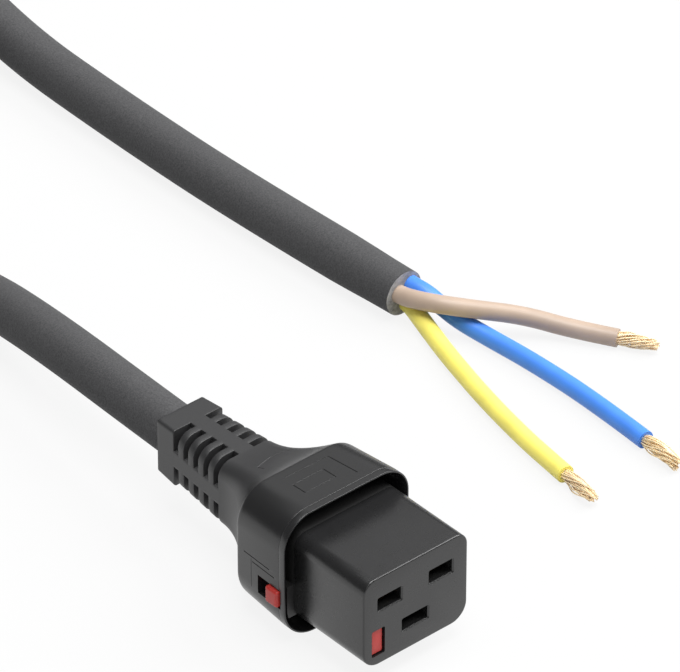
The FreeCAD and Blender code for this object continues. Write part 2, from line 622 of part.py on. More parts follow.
def cable_coil():
    """Closed ring of the coil's outer shape: three turns wide and two high."""
    inner = COIL_INNER_TURN - LEAD_RADIUS
    outer = COIL_OUTER_TURN + LEAD_RADIUS
    height = COIL_LAYERS * COIL_PITCH
    cut = LEAD_RADIUS * 0.6
    corners = (
        (inner + cut, 0), (outer - cut, 0), (outer, cut), (outer, height - cut),
        (outer - cut, height), (inner + cut, height), (inner, height - cut), (inner, cut),
    )
    section = Part.makePolygon([Vector(x, 0, z) for x, z in corners + corners[:1]])
    ring = Part.Face(section).revolve(Vector(0, 0, 0), Vector(0, 0, 1), 360)
    ring.translate(Vector(COIL_CENTRE[0], COIL_CENTRE[1], 0))
    lead_entry = coil_entry(LEAD_ROUTE[:-4:-1], -1, 0.0, COIL_PITCH)
    tail_entry = coil_entry(TAIL_ROUTE[:3], 1, TOP_LAYER_HEIGHT - 2 * LEAD_RADIUS, height)
    return ring.cut([lead_entry, tail_entry])


def coil_entry(route, side, low, high):
    """Room beside the coil where the cord comes off its outer turn, following the cord's route."""
    clear = LEAD_RADIUS + ENTRY_CLEARANCE
    far_x = COIL_CENTRE[0] + side * 2 * COIL_OUTER_TURN
    inner = []
    for before, (x, y, _) in zip(route[1:] + route[-1:], route):
        lean = abs(before[0] - x) / max(abs(before[1] - y), 1.0)
        inner.append((x - side * clear * math.sqrt(1 + lean ** 2), y))
    corners = inner + [(far_x, inner[-1][1]), (far_x, inner[0][1])]
    outline = Part.makePolygon([Vector(x, y, low) for x, y in corners + corners[:1]])
    return Part.Face(outline).extrude(Vector(0, 0, high - low))


def coil_tie():
    """Strap round the coil on its far side, lying clear of the surface below."""
    height = COIL_LAYERS * COIL_PITCH
    middle = (COIL_INNER_TURN + COIL_OUTER_TURN) / 2
    width = COIL_OUTER_TURN - COIL_INNER_TURN + LEAD_DIAMETER
    x, y, z = COIL_CENTRE[0], COIL_CENTRE[1] + middle, height / 2
    lift = 0.8
    outline = Part.makeBox(TIE_WIDTH, width + 2 * TIE_THICKNESS + 2 * lift, height + TIE_THICKNESS + lift)
    outline.translate(Vector(x - TIE_WIDTH / 2, y - width / 2 - TIE_THICKNESS - lift, 0))
    hollow = Part.makeBox(TIE_WIDTH, width + 2 * lift, height + lift)
    hollow.translate(Vector(x - TIE_WIDTH / 2, y - width / 2 - lift, 0))
    return outline.cut(hollow)


def bared_core(colour):
    """Insulated core and its bare strands, as two round solids in one line at the joint."""
    route = CORE_ROUTES[colour]
    insulation = cord_tube(colour + "_core", route, CORE_RADIUS)
    end = Vector(*route[-1])
    strands = Part.makeCylinder(CONDUCTOR_RADIUS, STRAND_LENGTHS[colour], end, end - Vector(*route[-2]))
    return insulation, strands


# ---------------------------------------------------------------- all the nodes
def build():
    """Every node by name."""
    nodes = {
        "overmould_body": overmould_body(),
        "front_bezel": front_bezel(),
        "nose_sleeve": nose_sleeve(),
        "contact_carrier": contact_carrier(),
        "inner_mould": inner_mould(),
        "release_slide": release_slide(),
        "lock_plate": lock_plate(),
        "lock_spring": lock_spring(),
    }
    routes = lead_routes()
    for name, x, z, _, _, setback in contact_places():
        nodes[name + "_contact"] = contact(x, z, setback)
        nodes[name + "_core_lead"] = core_lead(name + "_core_lead", routes[name])
    nodes["cable_coil"] = cable_coil()
    nodes["coil_tie"] = coil_tie()
    nodes["cable_lead"] = cord_tube("cable_lead", LEAD_ROUTE, LEAD_RADIUS)
    nodes["cable_tail"] = cord_tube("cable_tail", TAIL_ROUTE, LEAD_RADIUS)
    for colour in CORE_ROUTES:
        nodes[colour + "_core"], nodes[colour + "_strands"] = bared_core(colour)
    return nodes


os.makedirs("parts", exist_ok=True)
for node, shape in build().items():
    print(node, "solids", len(shape.Solids), "valid", shape.isValid(), "volume", round(shape.Volume, 2))
    shape.exportStep("parts/" + node + ".step")
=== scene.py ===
"""Finish of a locking appliance connector on the end of a cut three-core lead.

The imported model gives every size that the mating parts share.  Each moulded
piece is a stack of rounded-rectangle sections worked out with numpy, each
cord is a tube along one smooth spline, and every finish is a node material.
Metres.  The mating face looks along -Y, the lead leaves along +Y, Z is up.
"""
import math

import bmesh
import bpy
import numpy as np
from bpy.props import FloatProperty, FloatVectorProperty, IntProperty, PointerProperty
from bpy.types import Operator, Panel, PropertyGroup
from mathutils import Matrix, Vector


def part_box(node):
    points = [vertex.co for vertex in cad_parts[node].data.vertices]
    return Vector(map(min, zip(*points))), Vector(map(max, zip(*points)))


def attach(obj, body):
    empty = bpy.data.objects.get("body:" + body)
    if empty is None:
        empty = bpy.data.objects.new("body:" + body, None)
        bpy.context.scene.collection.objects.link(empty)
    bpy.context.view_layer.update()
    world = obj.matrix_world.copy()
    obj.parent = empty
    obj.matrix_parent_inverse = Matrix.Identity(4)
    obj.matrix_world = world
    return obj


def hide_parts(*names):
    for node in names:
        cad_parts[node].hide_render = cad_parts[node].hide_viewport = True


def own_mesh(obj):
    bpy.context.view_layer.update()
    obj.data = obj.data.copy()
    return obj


bl_info = {
    "name": "Locking appliance connector",
    "version": (1, 0, 0),
    "blender": (4, 5, 0),
    "location": "View3D > Sidebar > Connector",
    "description": "Covers, release slide, lead and bared cores of a locking appliance connector",
    "category": "Add Mesh",
}

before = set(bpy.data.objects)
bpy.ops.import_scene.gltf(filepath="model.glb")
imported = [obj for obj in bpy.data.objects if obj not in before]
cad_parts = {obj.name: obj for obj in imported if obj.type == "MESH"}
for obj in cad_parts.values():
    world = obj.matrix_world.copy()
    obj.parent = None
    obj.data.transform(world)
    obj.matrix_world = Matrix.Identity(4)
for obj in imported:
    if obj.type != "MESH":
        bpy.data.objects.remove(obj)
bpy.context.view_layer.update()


# ---------------- places taken from the frame
def span(node):
    """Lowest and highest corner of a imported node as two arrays."""
    low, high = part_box(node)
    return np.array(low), np.array(high)


NOSE_LOW, NOSE_HIGH = span("nose_sleeve")
BEZEL_LOW, BEZEL_HIGH = span("front_bezel")
SLIDE_LOW, SLIDE_HIGH = span("release_slide")

FACE_Y = NOSE_LOW[1]
END_Y = span("overmould_body")[1][1]
AXIS_Z = (BEZEL_LOW[2] + BEZEL_HIGH[2]) / 2
NOSE_WIDTH, _, NOSE_HEIGHT = NOSE_HIGH - NOSE_LOW
HOUSING_WIDTH, _, HOUSING_HEIGHT = BEZEL_HIGH - BEZEL_LOW


def at(setback):
    """Y of a place given by its distance behind the mating face."""
    return FACE_Y + setback


# ---------------- sizes and colours a user would change
def length(name, text, default):
    """Length property in metres."""
    return FloatProperty(name=name, description=text, default=default, unit="LENGTH", precision=5)


def colour(name, text, default):
    """Scene-linear colour property."""
    return FloatVectorProperty(name=name, description=text, default=default, subtype="COLOR", min=0, max=1)


def pair(name, text, default):
    """Width and height in metres."""
    return FloatVectorProperty(name=name, description=text, default=default, size=2, unit="LENGTH")


def number(name, text, default):
    """Whole number from one upwards."""
    return IntProperty(name=name, description=text, default=default, min=1)


def fraction(name, text, default):
    """Share from none to the whole."""
    return FloatProperty(name=name, description=text, default=default, min=0, max=1)


class HousingSizes(PropertyGroup):
    top_corner: length("Top corner", "Radius of the rim's two upper corners", 0.0070)
    bottom_corner: length("Bottom corner", "Radius of the rim's two lower corners", 0.0080)
    side_draft: length("Side draft", "How far each side leans in towards the rear edge", 0.0004)
    top_draft: length("Top draft", "How far the top leans down towards the rear edge", 0.0008)
    rear_top_corner: length("Rear top corner", "Radius of the upper corners at the rear edge", 0.0075)
    rear_bottom_corner: length("Rear bottom corner", "Radius of the lower corners at the rear edge", 0.0096)
    rim: length("Rim", "Mating face to the bezel's front rim", 0.0200)
    seam: length("Seam", "Mating face to the joint between bezel and overmould", 0.0216)
    recess_floor: length("Recess floor", "Mating face to the floor of the recess", 0.0280)
    seat_rear: length("Seat rear", "Mating face to the back of the insulator's flange", 0.0315)
    crease: length("Crease", "Mating face to the rear edge of the wide housing", 0.0343)
    neck: length("Neck", "Mating face to the end of the flare", 0.0494)
    jacket_end: length("Jacket end", "Mating face to the inner end of the lead's jacket", 0.0440)
    recess_wall: length("Recess wall", "Wall around the recess", 0.0010)
    rim_lip: length("Rim lip", "Wall at the very edge of the rim", 0.00030)
    rim_chamfer: length("Rim chamfer", "Depth of the slope inside the rim", 0.0012)
    tongue_length: length("Tongue length", "Length of the bezel's tongue", 0.0015)
    tongue_wall: length("Tongue wall", "Wall of the bezel's tongue", 0.00045)
    seat_side: length("Seat side", "Half width of the room for the insulator's flange", 0.0138)
    seat_top: length("Seat top", "Half height of the room for the insulator's flange", 0.0118)
    seat_corner: length("Seat corner", "Corner radius of that room", 0.0045)
    mould_corner: length("Mould corner", "Corner radius of the room for the inner mould", 0.0040)
    mould_back: length("Mould back", "Width of that room at its rear", 0.0120)
    edge_round: length("Edge round", "Radius on the rim and along the seam", 0.00010)
    crease_round: length("Crease round", "Softness of the crease", 0.00022)
    engraving: length("Engraving", "Depth of the fine engraved lines", 0.00012)


class ReliefSizes(PropertyGroup):
    neck_width: length("Neck width", "Width where the flare ends", 0.0146)
    neck_height: length("Neck height", "Height where the flare ends", 0.0156)
    neck_corner: length("Neck corner", "Corner radius where the flare ends", 0.0033)
    rib_corner: length("Rib corner", "Corner radius of the last rib", 0.0030)
    rise: length("Rise", "How far the lead lifts the end face", 0.0006)
    flare_crown: length("Flare crown", "How much the flare's top stands above its even curve", 0.0006)
    block_corner: length("Block corner", "Corner radius of the end block", 0.0008)
    end_width: length("End width", "Width of the end face", 0.0120)
    end_height: length("End height", "Height of the end face", 0.0128)
    bore: length("Bore", "Radius of the bore that the lead fits", 0.00552)
    pockets: number("Pockets", "Flexing pockets along the strain relief", 5)
    pocket_pitch: length("Pocket pitch", "From one pocket to the next", 0.00327)
    pocket_length: length("Pocket length", "Pocket length along the lead", 0.0015)
    last_pocket: length("Last pocket", "Mating face to the middle of the last pocket", 0.0635)
    spine: length("Spine", "Half width of the solid strip between the pockets", 0.0019)
    floor: length("Pocket floor", "Radius of the pockets' floor", 0.00585)
    pocket_round: length("Pocket round", "Radius on the pockets' edges", 0.00015)


class NoseSizes(PropertyGroup):
    top_corner: length("Top corner", "Radius of the two upper corners", 0.0030)
    bottom_corner: length("Bottom corner", "Radius of the two lower corners", 0.0040)
    wall: length("Sleeve wall", "Wall of the grey sleeve", 0.0017)
    face_wall: length("Face wall", "Grey skin over the face", 0.0008)
    face_round: length("Face round", "Radius round the mating face", 0.00035)
    pole_spacing: length("Pole spacing", "Line slot to neutral slot", 0.0130)
    line_height: length("Line height", "Height of the line and neutral slots", 0.01835)
    earth_height: length("Earth height", "Height of the earth slot", 0.01035)
    line_slot: pair("Line slot", "Width and height of a line slot", (0.0059, 0.0030))
    earth_slot: pair("Earth slot", "Width and height of the earth slot", (0.0065, 0.0028))
    slot_chamfer: length("Slot chamfer", "Chamfer round each slot", 0.0003)
    slot_corner: length("Slot corner", "Corner radius of each slot", 0.00015)
    rear_round: length("Rear round", "Radius round the sleeve's rear edge", 0.0001)


class SlideSizes(PropertyGroup):
    gap: length("Gap", "Running clearance round the slide", 0.0003)
    travel: length("Travel", "How far the slide is pulled", 0.0028)
    bar_width: length("Bar width", "Width of the red bar", 0.0027)
    button_setback: length("Button", "Mating face to the front of the button", 0.0214)
    button_length: length("Button length", "Length of the button", 0.0035)
    button_height: length("Button height", "Height of the button", 0.0038)
    button_middle: length("Button middle", "Height of the button's middle", 0.01035)
    window_depth: length("Window depth", "Middle of the housing to the inner end of the window", 0.01375)
    button_round: length("Button round", "Radius on the button's outer edges", 0.0006)
    button_corner: length("Button corner", "Corner radius of the button's outline", 0.0005)
    bar_round: length("Bar round", "Radius on the bar's edges", 0.0002)
    channel_corner: length("Channel corner", "Corner radius of the bar's window", 0.0003)
    spring_wire: length("Spring wire", "Radius of the spring's wire", 0.0002)
    spring_turns: number("Spring turns", "Turns of the spring behind the bar", 4)


class LeadSizes(PropertyGroup):
    diameter: length("Diameter", "Diameter of the lead", 0.0108)
    jacket_wall: length("Jacket wall", "Wall of the jacket at its cut end", 0.0007)
    cut_depth: length("Cut depth", "How far the cut jacket is hollow", 0.0045)
    pinch: fraction("Pinch", "Share of its diameter that the jacket loses at its cut end", 0.07)
    pinch_length: length("Pinch length", "Length over which the jacket narrows to its cut end", 0.0200)
    coil_turn: length("Coil", "Radius of the coil's outer turns", 0.0612)


class CoreSizes(PropertyGroup):
    diameter: length("Diameter", "Diameter of an insulated core", 0.0039)
    conductor: length("Conductor", "Radius of the bare conductor", 0.00105)
    strand: length("Strand", "Radius of one strand", 0.00015)
    rings: number("Rings", "Rings of strands round the middle one", 3)
    hidden: length("Hidden length", "Insulated core inside the jacket's cut end", 0.0042)
    hollow: length("Hollow", "How far the insulation's cut end is hollow", 0.0016)
    looseness: length("Looseness", "Clearance between strands and insulation", 0.0001)
    root: length("Strand root", "How far the strands reach back into the insulation", 0.0022)


class Colours(PropertyGroup):
    housing: colour("Housing", "Black moulding", (0.015, 0.015, 0.0155))
    # A lighter black than the housing's: painted sheen, the brighter look of the flare and strain relief
    # under the lamps; their real rougher finish comes from roughness
    relief: colour("Relief", "Duller black of the flare and strain relief", (0.024, 0.024, 0.025))
    nose: colour("Nose", "Dark grey moulding of the nose", (0.014, 0.014, 0.0145))
    jacket: colour("Jacket", "Rubber of the lead", (0.068, 0.068, 0.070))
    cut: colour("Cut jacket", "Cut face of the jacket", (0.34, 0.34, 0.35))
    slide: colour("Slide", "Red release slide", (0.54, 0.038, 0.031))
    brown: colour("Brown core", "Insulation of the brown core", (0.45, 0.345, 0.27))
    blue: colour("Blue core", "Insulation of the blue core", (0.066, 0.245, 0.83))
    yellow: colour("Yellow core", "Insulation of the yellow core", (0.90, 0.80, 0.165))
    copper: colour("Copper", "Bare strands", (0.99, 0.76, 0.49))


class Studio(PropertyGroup):
    camera_place: FloatVectorProperty(name="Camera", description="Where the camera stands",
                                      subtype="TRANSLATION", default=(-0.69849, -0.81494, 0.83858))
    camera_turn: FloatVectorProperty(name="Camera turn", description="Tilt and heading of the camera",
                                     subtype="EULER",
                                     default=(math.radians(53.97), 0.0, math.radians(-41.05)))
    lens: FloatProperty(name="Lens", description="Focal length in millimetres", default=370.0)
    floor_white: fraction("Floor white", "Share of plain white seen in the floor", 0.87)


GROUPS = {
    "housing_sizes": HousingSizes,
    "relief_sizes": ReliefSizes,
    "nose_sizes": NoseSizes,
    "slide_sizes": SlideSizes,
    "lead_sizes": LeadSizes,
    "core_sizes": CoreSizes,
    "connector_colours": Colours,
    "studio": Studio,
}

# ---------------- routes of the free cords
LEAD_ROUTE = (
    (0.0000, 0.0092, 0.0145),
    (0.0000, 0.0435, 0.0153),
    (0.0026, 0.0790, 0.0134),
    (0.0078, 0.1100, 0.0060),
    (-0.0010, 0.1420, 0.0054),
    (-0.0350, 0.1780, 0.0054),
    (-0.0504, 0.2090, 0.0054),
    (-0.0504, 0.2400, 0.0054),
)
TAIL_ROUTE = (
    (0.0720, 0.2400, 0.0162),
    (0.0720, 0.2120, 0.0162),
    (0.0712, 0.1780, 0.0057),
    (0.0704, 0.1380, 0.0054),
    (0.0707, 0.0960, 0.0054),
    (0.0735, 0.0517, 0.0053),
)
CORE_ROUTES = {
    "brown": (
        (0.0719, 0.0512, 0.0058), (0.0724, 0.0462, 0.0070), (0.0748, 0.0410, 0.0075),
        (0.0797, 0.0363, 0.0066), (0.0878, 0.0308, 0.0043), (0.0939, 0.0231, 0.0022),
        (0.0991, 0.0148, 0.00195),
    ),
    "blue": (
        (0.0753, 0.0515, 0.0067), (0.0760, 0.0476, 0.0064), (0.0767, 0.0438, 0.0049),
        (0.0779, 0.0394, 0.0030), (0.0794, 0.0326, 0.00195), (0.0805, 0.0200, 0.00195),
        (0.0808, 0.0020, 0.00195), (0.0797, -0.0141, 0.00195),
    ),
    "yellow": (
        (0.0743, 0.0513, 0.0030), (0.0731, 0.0470, 0.0028), (0.0716, 0.0413, 0.0021),
        (0.0689, 0.0325, 0.00195), (0.0647, 0.0165, 0.00195), (0.0619, 0.0022, 0.00195),
        (0.0608, -0.0058, 0.00195), (0.0600, -0.0120, 0.00195),
    ),
}
STRAND_LENGTHS = {"brown": 0.0083, "blue": 0.0102, "yellow": 0.0097}
COIL_CENTRE = (0.0108, 0.2400)
COIL_HALF_TURNS = 11
# Degrees from point to point, where the cord starts to shift one pitch, and over which it shifts
COIL_STEP = 24.0
COIL_INWARDS = (280, 640)
COIL_CLIMB = 960
COIL_OUTWARDS = (1240, 1600)
COIL_EASE = 80

# Rows along the overmould and its rounded edges, and columns over its spine and round to its pockets' ends
CREASE_ROWS, FLARE_ROWS, BLOCK_ROWS, EDGE_ROWS = 14, 26, 6, 4
SPINE_COLUMNS, POCKET_COLUMNS = (0.0, 0.35, 0.7), 46

# Points round a tube, and steps along it, along one turn of the spring or one straight of an engraving
ENGRAVED_STEPS = 8
LEAD_COLUMNS, LEAD_STEPS = 40, 14
CORE_COLUMNS, CORE_STEPS = 28, 12
STRAND_COLUMNS, STRAND_STEPS = 7, 22
SPRING_COLUMNS, SPRING_STEPS = 10, 28

# Angles in degrees past which an edge stays sharp, and distances within which points are merged
SHARP, STRAND_SHARP = 35.0, 60.0
MERGE, FINE_MERGE = 2e-6, 1e-7

# Smallest corner of a section, places that count as one, least divisor, corner of a plain tool, and how
# far a tool reaches past a face
LEAST_CORNER = 1e-5
SAME_PLACE = 1e-6
TINY = 1e-9
TOOL_CORNER = 1e-4
OVERCUT = 0.001
# Share of a tube's wall that is rounded at its cut, and of a pocket's bead at its middle row
CUT_ROUND = 0.06
BEAD_STEP = 0.3

# How unevenly the strands are cut, bulge, turn and stray, and the first bundle's seed
STRAND_SEED = 11
STRAND_CUT = (-0.10, 0.04)
STRAND_BULGE = (0.05, 0.85)
STRAND_SPREAD = 0.10
STRAND_TWIST = 2.4
STRAND_TURN = 0.35
STRAND_DRIFT = 0.00042


# ---------------- surfaces
def mesh_piece(name, points, faces, marks=None):
    """Mesh object from arrays; marks gives each face its material index."""
    mesh = bpy.data.meshes.new(name)
    mesh.from_pydata(points, [], faces)
    if marks is not None:
        mesh.polygons.foreach_set("material_index", np.asarray(marks, dtype=np.int32))
    piece = bpy.data.objects.new(name, mesh)
    bpy.context.scene.collection.objects.link(piece)
    return piece


def ring_faces(index, closed=False):
    """Quads that join neighbouring rings of point numbers, and one flat face on each open end."""
    start, along = (index, np.roll(index, -1, axis=0)) if closed else (index[:-1], index[1:])
    quads = np.stack((start, np.roll(start, -1, axis=1), np.roll(along, -1, axis=1), along), axis=-1)
    ends = [] if closed else [index[0][::-1].tolist(), index[-1].tolist()]
    return quads.reshape(-1, 4).tolist() + ends


def tidy_mesh(piece, sharp=SHARP, merge=MERGE):
    """Merges doubles, points every face outwards and shades smooth between sharp edges."""
    work = bmesh.new()
    work.from_mesh(piece.data)
    bmesh.ops.remove_doubles(work, verts=work.verts, dist=merge)
    bmesh.ops.dissolve_degenerate(work, edges=work.edges, dist=merge)
    bmesh.ops.recalc_face_normals(work, faces=work.faces)
    work.to_mesh(piece.data)
    work.free()
    piece.data.shade_smooth()
    piece.data.set_sharp_from_angle(angle=math.radians(sharp))
    return piece


def grid_piece(name, *grids, closed=False, row_marks=None, sharp=SHARP, merge=MERGE):
    """Tidied surface through grids of rows of points, each row a closed ring.

    With closed the last row joins the first; row_marks gives each band of faces its material.
    """
    faces, placed = [], 0
    for grid in grids:
        rows, columns = grid.shape[:2]
        faces += ring_faces(np.arange(rows * columns).reshape(rows, columns) + placed, closed)
        placed += rows * columns
    marks = None
    if row_marks is not None:
        marks = np.append(np.repeat(row_marks, columns), (row_marks[0], row_marks[-1]))
    points = np.concatenate([grid.reshape(-1, 3) for grid in grids])
    return tidy_mesh(mesh_piece(name, points.tolist(), faces, marks), sharp, merge)


def quarter(q, half_width, half_height, corner, spine):
    """Quarter of a rounded rectangle, from the middle of its top to the middle of its side.

    The arc length s runs along the flat, round the corner arc and down the side:
    x = min(s, flat) + r sin(turn), z = half height - r (1 - cos turn) - rest.
    q counts 0..1 to the spine's edge, 1..2 round the corner, 2..3 to the side's middle.
    """
    flat_x = half_width - corner
    flat_z = half_height - corner
    total = flat_x + flat_z + corner * np.pi / 2

    def spine_arc(flat):
        over = np.clip((spine - flat) / np.maximum(corner, SAME_PLACE), 0, 1)
        return np.where(spine <= flat, spine, flat + corner * np.arcsin(over))

    first = spine_arc(flat_x)
    last = total - spine_arc(flat_z)
    legs = (first, last - first, total - last)
    s = sum(leg * np.clip(q - start, 0, 1) for start, leg in enumerate(legs))
    turn = np.clip((s - flat_x) / np.maximum(corner, SAME_PLACE), 0, np.pi / 2)
    x = np.minimum(s, flat_x) + corner * np.sin(turn)
    z = half_height - corner * (1 - np.cos(turn)) - np.maximum(s - flat_x - corner * np.pi / 2, 0)
    return x, z


def corner_quarter(q, half_width, half_height, corner):
    """Quarter of a rounded rectangle with q 0..1 on the flat, 1..2 round the arc, 2..3 down the side."""
    turn = np.clip(q - 1, 0, 1) * np.pi / 2
    x = (half_width - corner) * np.clip(q, 0, 1) + corner * np.sin(turn)
    z = half_height - corner * (1 - np.cos(turn)) - (half_height - corner) * np.clip(q - 2, 0, 1)
    return x, z


def whole_ring(top, bottom):
    """Closed ring from its upper and lower right quarters, mirrored to the left."""
    (xt, zt), (xb, zb) = top, bottom
    right_x = np.concatenate((xt, xb[:, -2::-1]), axis=1)
    right_z = np.concatenate((zt, -zb[:, -2::-1]), axis=1)
    x = np.concatenate((right_x, -right_x[:, -2:0:-1]), axis=1)
    z = np.concatenate((right_z, right_z[:, -2:0:-1]), axis=1)
    return x, z


COARSE_Q = np.array([0, 1, 1.5, 2, 3.0])
PLAIN_Q = np.concatenate((np.linspace(0, 1, 4)[:-1], np.linspace(1, 2, 17), np.linspace(2, 3, 4)[1:]))


def section_grid(rows, q=PLAIN_Q, spine=None, across=(0.0, 0.0), axes=(0, 1, 2)):
    """Rings of rounded rectangles carried along a line.

    Each row is (place along, width, height, upper corner, lower corner).  axes says
    which of X, Y and Z the ring's width, the line and the ring's height lie along.
    """
    rows = np.array([tuple(row) + (row[3],) * (5 - len(row)) for row in rows], float)
    along, width, height, upper, lower = rows.T[:, :, None]
    half_width, half_height = width / 2, height / 2
    shape, edge = corner_quarter, ()
    if spine is not None:
        shape, edge = quarter, (np.minimum(spine, 0.5 * np.minimum(half_width, half_height)),)
    halves = [shape(q[None], half_width, half_height, corner, *edge) for corner in (upper, lower)]
    x, z = whole_ring(*halves)
    grid = np.empty(x.shape + (3,))
    grid[..., axes[0]] = x + across[0]
    grid[..., axes[1]] = along
    grid[..., axes[2]] = z + across[1]
    return grid


def rounded_edge(place, width, height, upper, lower, radius, inwards, steps=EDGE_ROWS):
    """Rows that round an end: inset r (1 - sin t) and depth r (1 - cos t), t from 0 to a quarter turn.

    inwards is +1 where the line goes on into the body and -1 where it comes out of it.
    """
    rows = []
    for t in np.linspace(0, np.pi / 2, steps):
        inset = radius * (1 - math.sin(t))
        depth = radius * (1 - math.cos(t))
        rows.append((place + inwards * depth, width - 2 * inset, height - 2 * inset,
                     max(upper - inset, LEAST_CORNER), max(lower - inset, LEAST_CORNER)))
    return rows if inwards > 0 else rows[::-1]


def carve(piece, *cutters, how="DIFFERENCE"):
    """Cuts a closed mesh with others in turn, or joins it to them, removes them and tidies the result."""
    for cutter in cutters:
        change = piece.modifiers.new("carve", "BOOLEAN")
        change.operation = how
        change.solver = "EXACT"
        change.object = cutter
        bpy.context.view_layer.update()
        shown = piece.evaluated_get(bpy.context.evaluated_depsgraph_get())
        carved = bpy.data.meshes.new_from_object(shown)
        piece.modifiers.clear()
        spent = (piece.data, cutter.data)
        carved.name = piece.data.name
        piece.data = carved
        bpy.data.objects.remove(cutter)
        for mesh in spent:
            bpy.data.meshes.remove(mesh)
    return tidy_mesh(piece)


def block_cutter(low, high, corner=TOOL_CORNER):
    """Closed tool between two corners, its edges along Y slightly rounded."""
    low, high = np.array(low), np.array(high)
    width, _, height = high - low
    rows = [(y, width, height, corner) for y in (low[1], high[1])]
    middle = (low + high) / 2
    return grid_piece("cutter", section_grid(rows, COARSE_Q, across=middle[::2]))


def spline_points(route, resolution):
    """Points of the quadratic NURBS spline that has the route's points as its control points."""
    curve = bpy.data.curves.new("route", "CURVE")
    curve.dimensions = "3D"
    spline = curve.splines.new("NURBS")
    spline.points.add(len(route) - 1)
    spline.points.foreach_set("co", np.column_stack((route, np.ones(len(route)))).ravel())
    spline.order_u = 3
    spline.use_endpoint_u = True
    spline.resolution_u = resolution
    carrier = bpy.data.objects.new("route", curve)
    bpy.context.scene.collection.objects.link(carrier)
    line = bpy.data.meshes.new_from_object(carrier)
    points = np.empty(len(line.vertices) * 3)
    line.vertices.foreach_get("co", points)
    bpy.data.objects.remove(carrier)
    bpy.data.curves.remove(curve)
    bpy.data.meshes.remove(line)
    return points.reshape(-1, 3)


def unit(vectors):
    """Vectors of length one."""
    return vectors / np.linalg.norm(vectors, axis=-1, keepdims=True)


def level_frame(tangent):
    """Level side and upward normal across a direction, or many, that is never upright."""
    side = unit(np.cross(tangent, (0.0, 0.0, 1.0)))
    return side, np.cross(side, tangent)


def step_lengths(line):
    """Length of each step of a line through points."""
    return np.linalg.norm(np.diff(line, axis=0), axis=1)


def tube_grid(line, radius, columns):
    """Rings of a round tube: line + radius (side cos a + up sin a)."""
    side, up = level_frame(unit(np.gradient(line, axis=0)))
    turn = np.linspace(0, 2 * np.pi, columns, endpoint=False)[None, :, None]
    radius = np.broadcast_to(radius, len(line))[:, None, None]
    return line[:, None] + radius * (side[:, None] * np.cos(turn) + up[:, None] * np.sin(turn))


def hollow_ended_tube(name, line, radius, inner, depth, columns):
    """Tube whose far end is cut square and hollow: out along the line, over the cut, and back inside.

    Faces of the outside have material 0, of the cut 1 and of the hollow 2.
    """
    steps = step_lengths(line)
    back = int(np.searchsorted(steps[::-1].cumsum(), depth)) + 1
    outside = tube_grid(line, radius, columns)
    inside = tube_grid(line, inner, columns)
    wall = np.broadcast_to(radius - inner, len(line))
    lip = tube_grid(line, radius - CUT_ROUND * wall, columns)
    outside[-1] += (outside[-2] - outside[-1]) * min(1, CUT_ROUND * wall[-1] / steps[-1])
    grid = np.concatenate((outside, lip[-1:], inside[:-back - 1:-1]))
    marks = np.zeros(len(grid) - 1, int)
    marks[len(outside):] = 1
    marks[len(outside) + 1:] = 2
    return grid_piece(name, grid, row_marks=marks)


# ---------------- materials
class Finish:
    """Node material built round one Principled shader."""

    def __init__(self, name, base, **constants):
        self.material = bpy.data.materials.new(name)
        self.material.use_nodes = True
        self.tree = self.material.node_tree
        self.shader = self.tree.nodes["Principled BSDF"]
        self.place = self.node("TexCoord").outputs["Object"]
        self.fill(self.shader, Base_Color=(*base, 1.0), **constants)
        self.material.diffuse_color = (*base, 1.0)

    def fill(self, node, *ordered, **named):
        """Constants or links on a node's sockets, in their order or by name, with _ for a space."""
        pairs = [*zip(node.inputs, ordered)]
        pairs += [(node.inputs[key.replace("_", " ")], value) for key, value in named.items()]
        for socket, value in pairs:
            if isinstance(value, bpy.types.NodeSocket):
                self.tree.links.new(value, socket)
            else:
                socket.default_value = value
        return node

    def node(self, kind, *ordered, **named):
        """New node with its sockets filled."""
        return self.fill(self.tree.nodes.new("ShaderNode" + kind), *ordered, **named)

    def combine(self, operation, *values):
        """Result of one operation on sockets or numbers."""
        node = self.node("Math", *values)
        node.operation = operation
        return node.outputs["Value"]

    def noise(self, scale, detail=3.0, roughness=0.55, stretch=(1, 1, 1)):
        """Noise in the piece's own coordinates, optionally stretched."""
        place = self.node("Mapping", Vector=self.place, Scale=stretch).outputs["Vector"]
        noise = self.node("TexNoise", Vector=place, Scale=scale, Detail=detail, Roughness=roughness)
        return noise.outputs["Fac"]

    def along(self, start, end):
        """Way from 0 to 1 between two places along Y."""
        y = self.node("SeparateXYZ", Vector=self.place).outputs["Y"]
        return self.node("MapRange", Value=y, From_Min=start, From_Max=end).outputs["Result"]

    def tint(self, factor, tones, between=(0.35, 0.65)):
        """Base colour that goes from one tone to the other while the factor is between two values."""
        ramp = self.node("ValToRGB", Fac=factor)
        for element, tone, place in zip(ramp.color_ramp.elements, tones, between):
            element.position = place
            element.color = (*tone, 1.0)
        self.fill(self.shader, Base_Color=ramp.outputs["Color"])

    def rough(self, factor, low, high):
        """Roughness that wanders between two values."""
        spread = self.node("MapRange", Value=factor, To_Min=low, To_Max=high)
        self.fill(self.shader, Roughness=spread.outputs["Result"])

    def bump(self, factor, depth):
        """Relief of a given depth in metres."""
        raised = self.node("Bump", Height=factor, Distance=depth, Strength=1.0)
        self.fill(self.shader, Normal=raised.outputs["Normal"])


def shades(base, *shares):
    """A colour made lighter or darker by each share."""
    return [tuple(min(1.0, part * share) for part in base) for share in shares]


# Roughness of the housing and of the strain relief, and how far behind the crease the first turns into it;
# over the same span the base colour turns to a lighter black, painted sheen on the flare and relief
GLOSSY = 0.28
DULL = 0.48
SHEEN_AND_ROUGHNESS_SPAN = 0.004

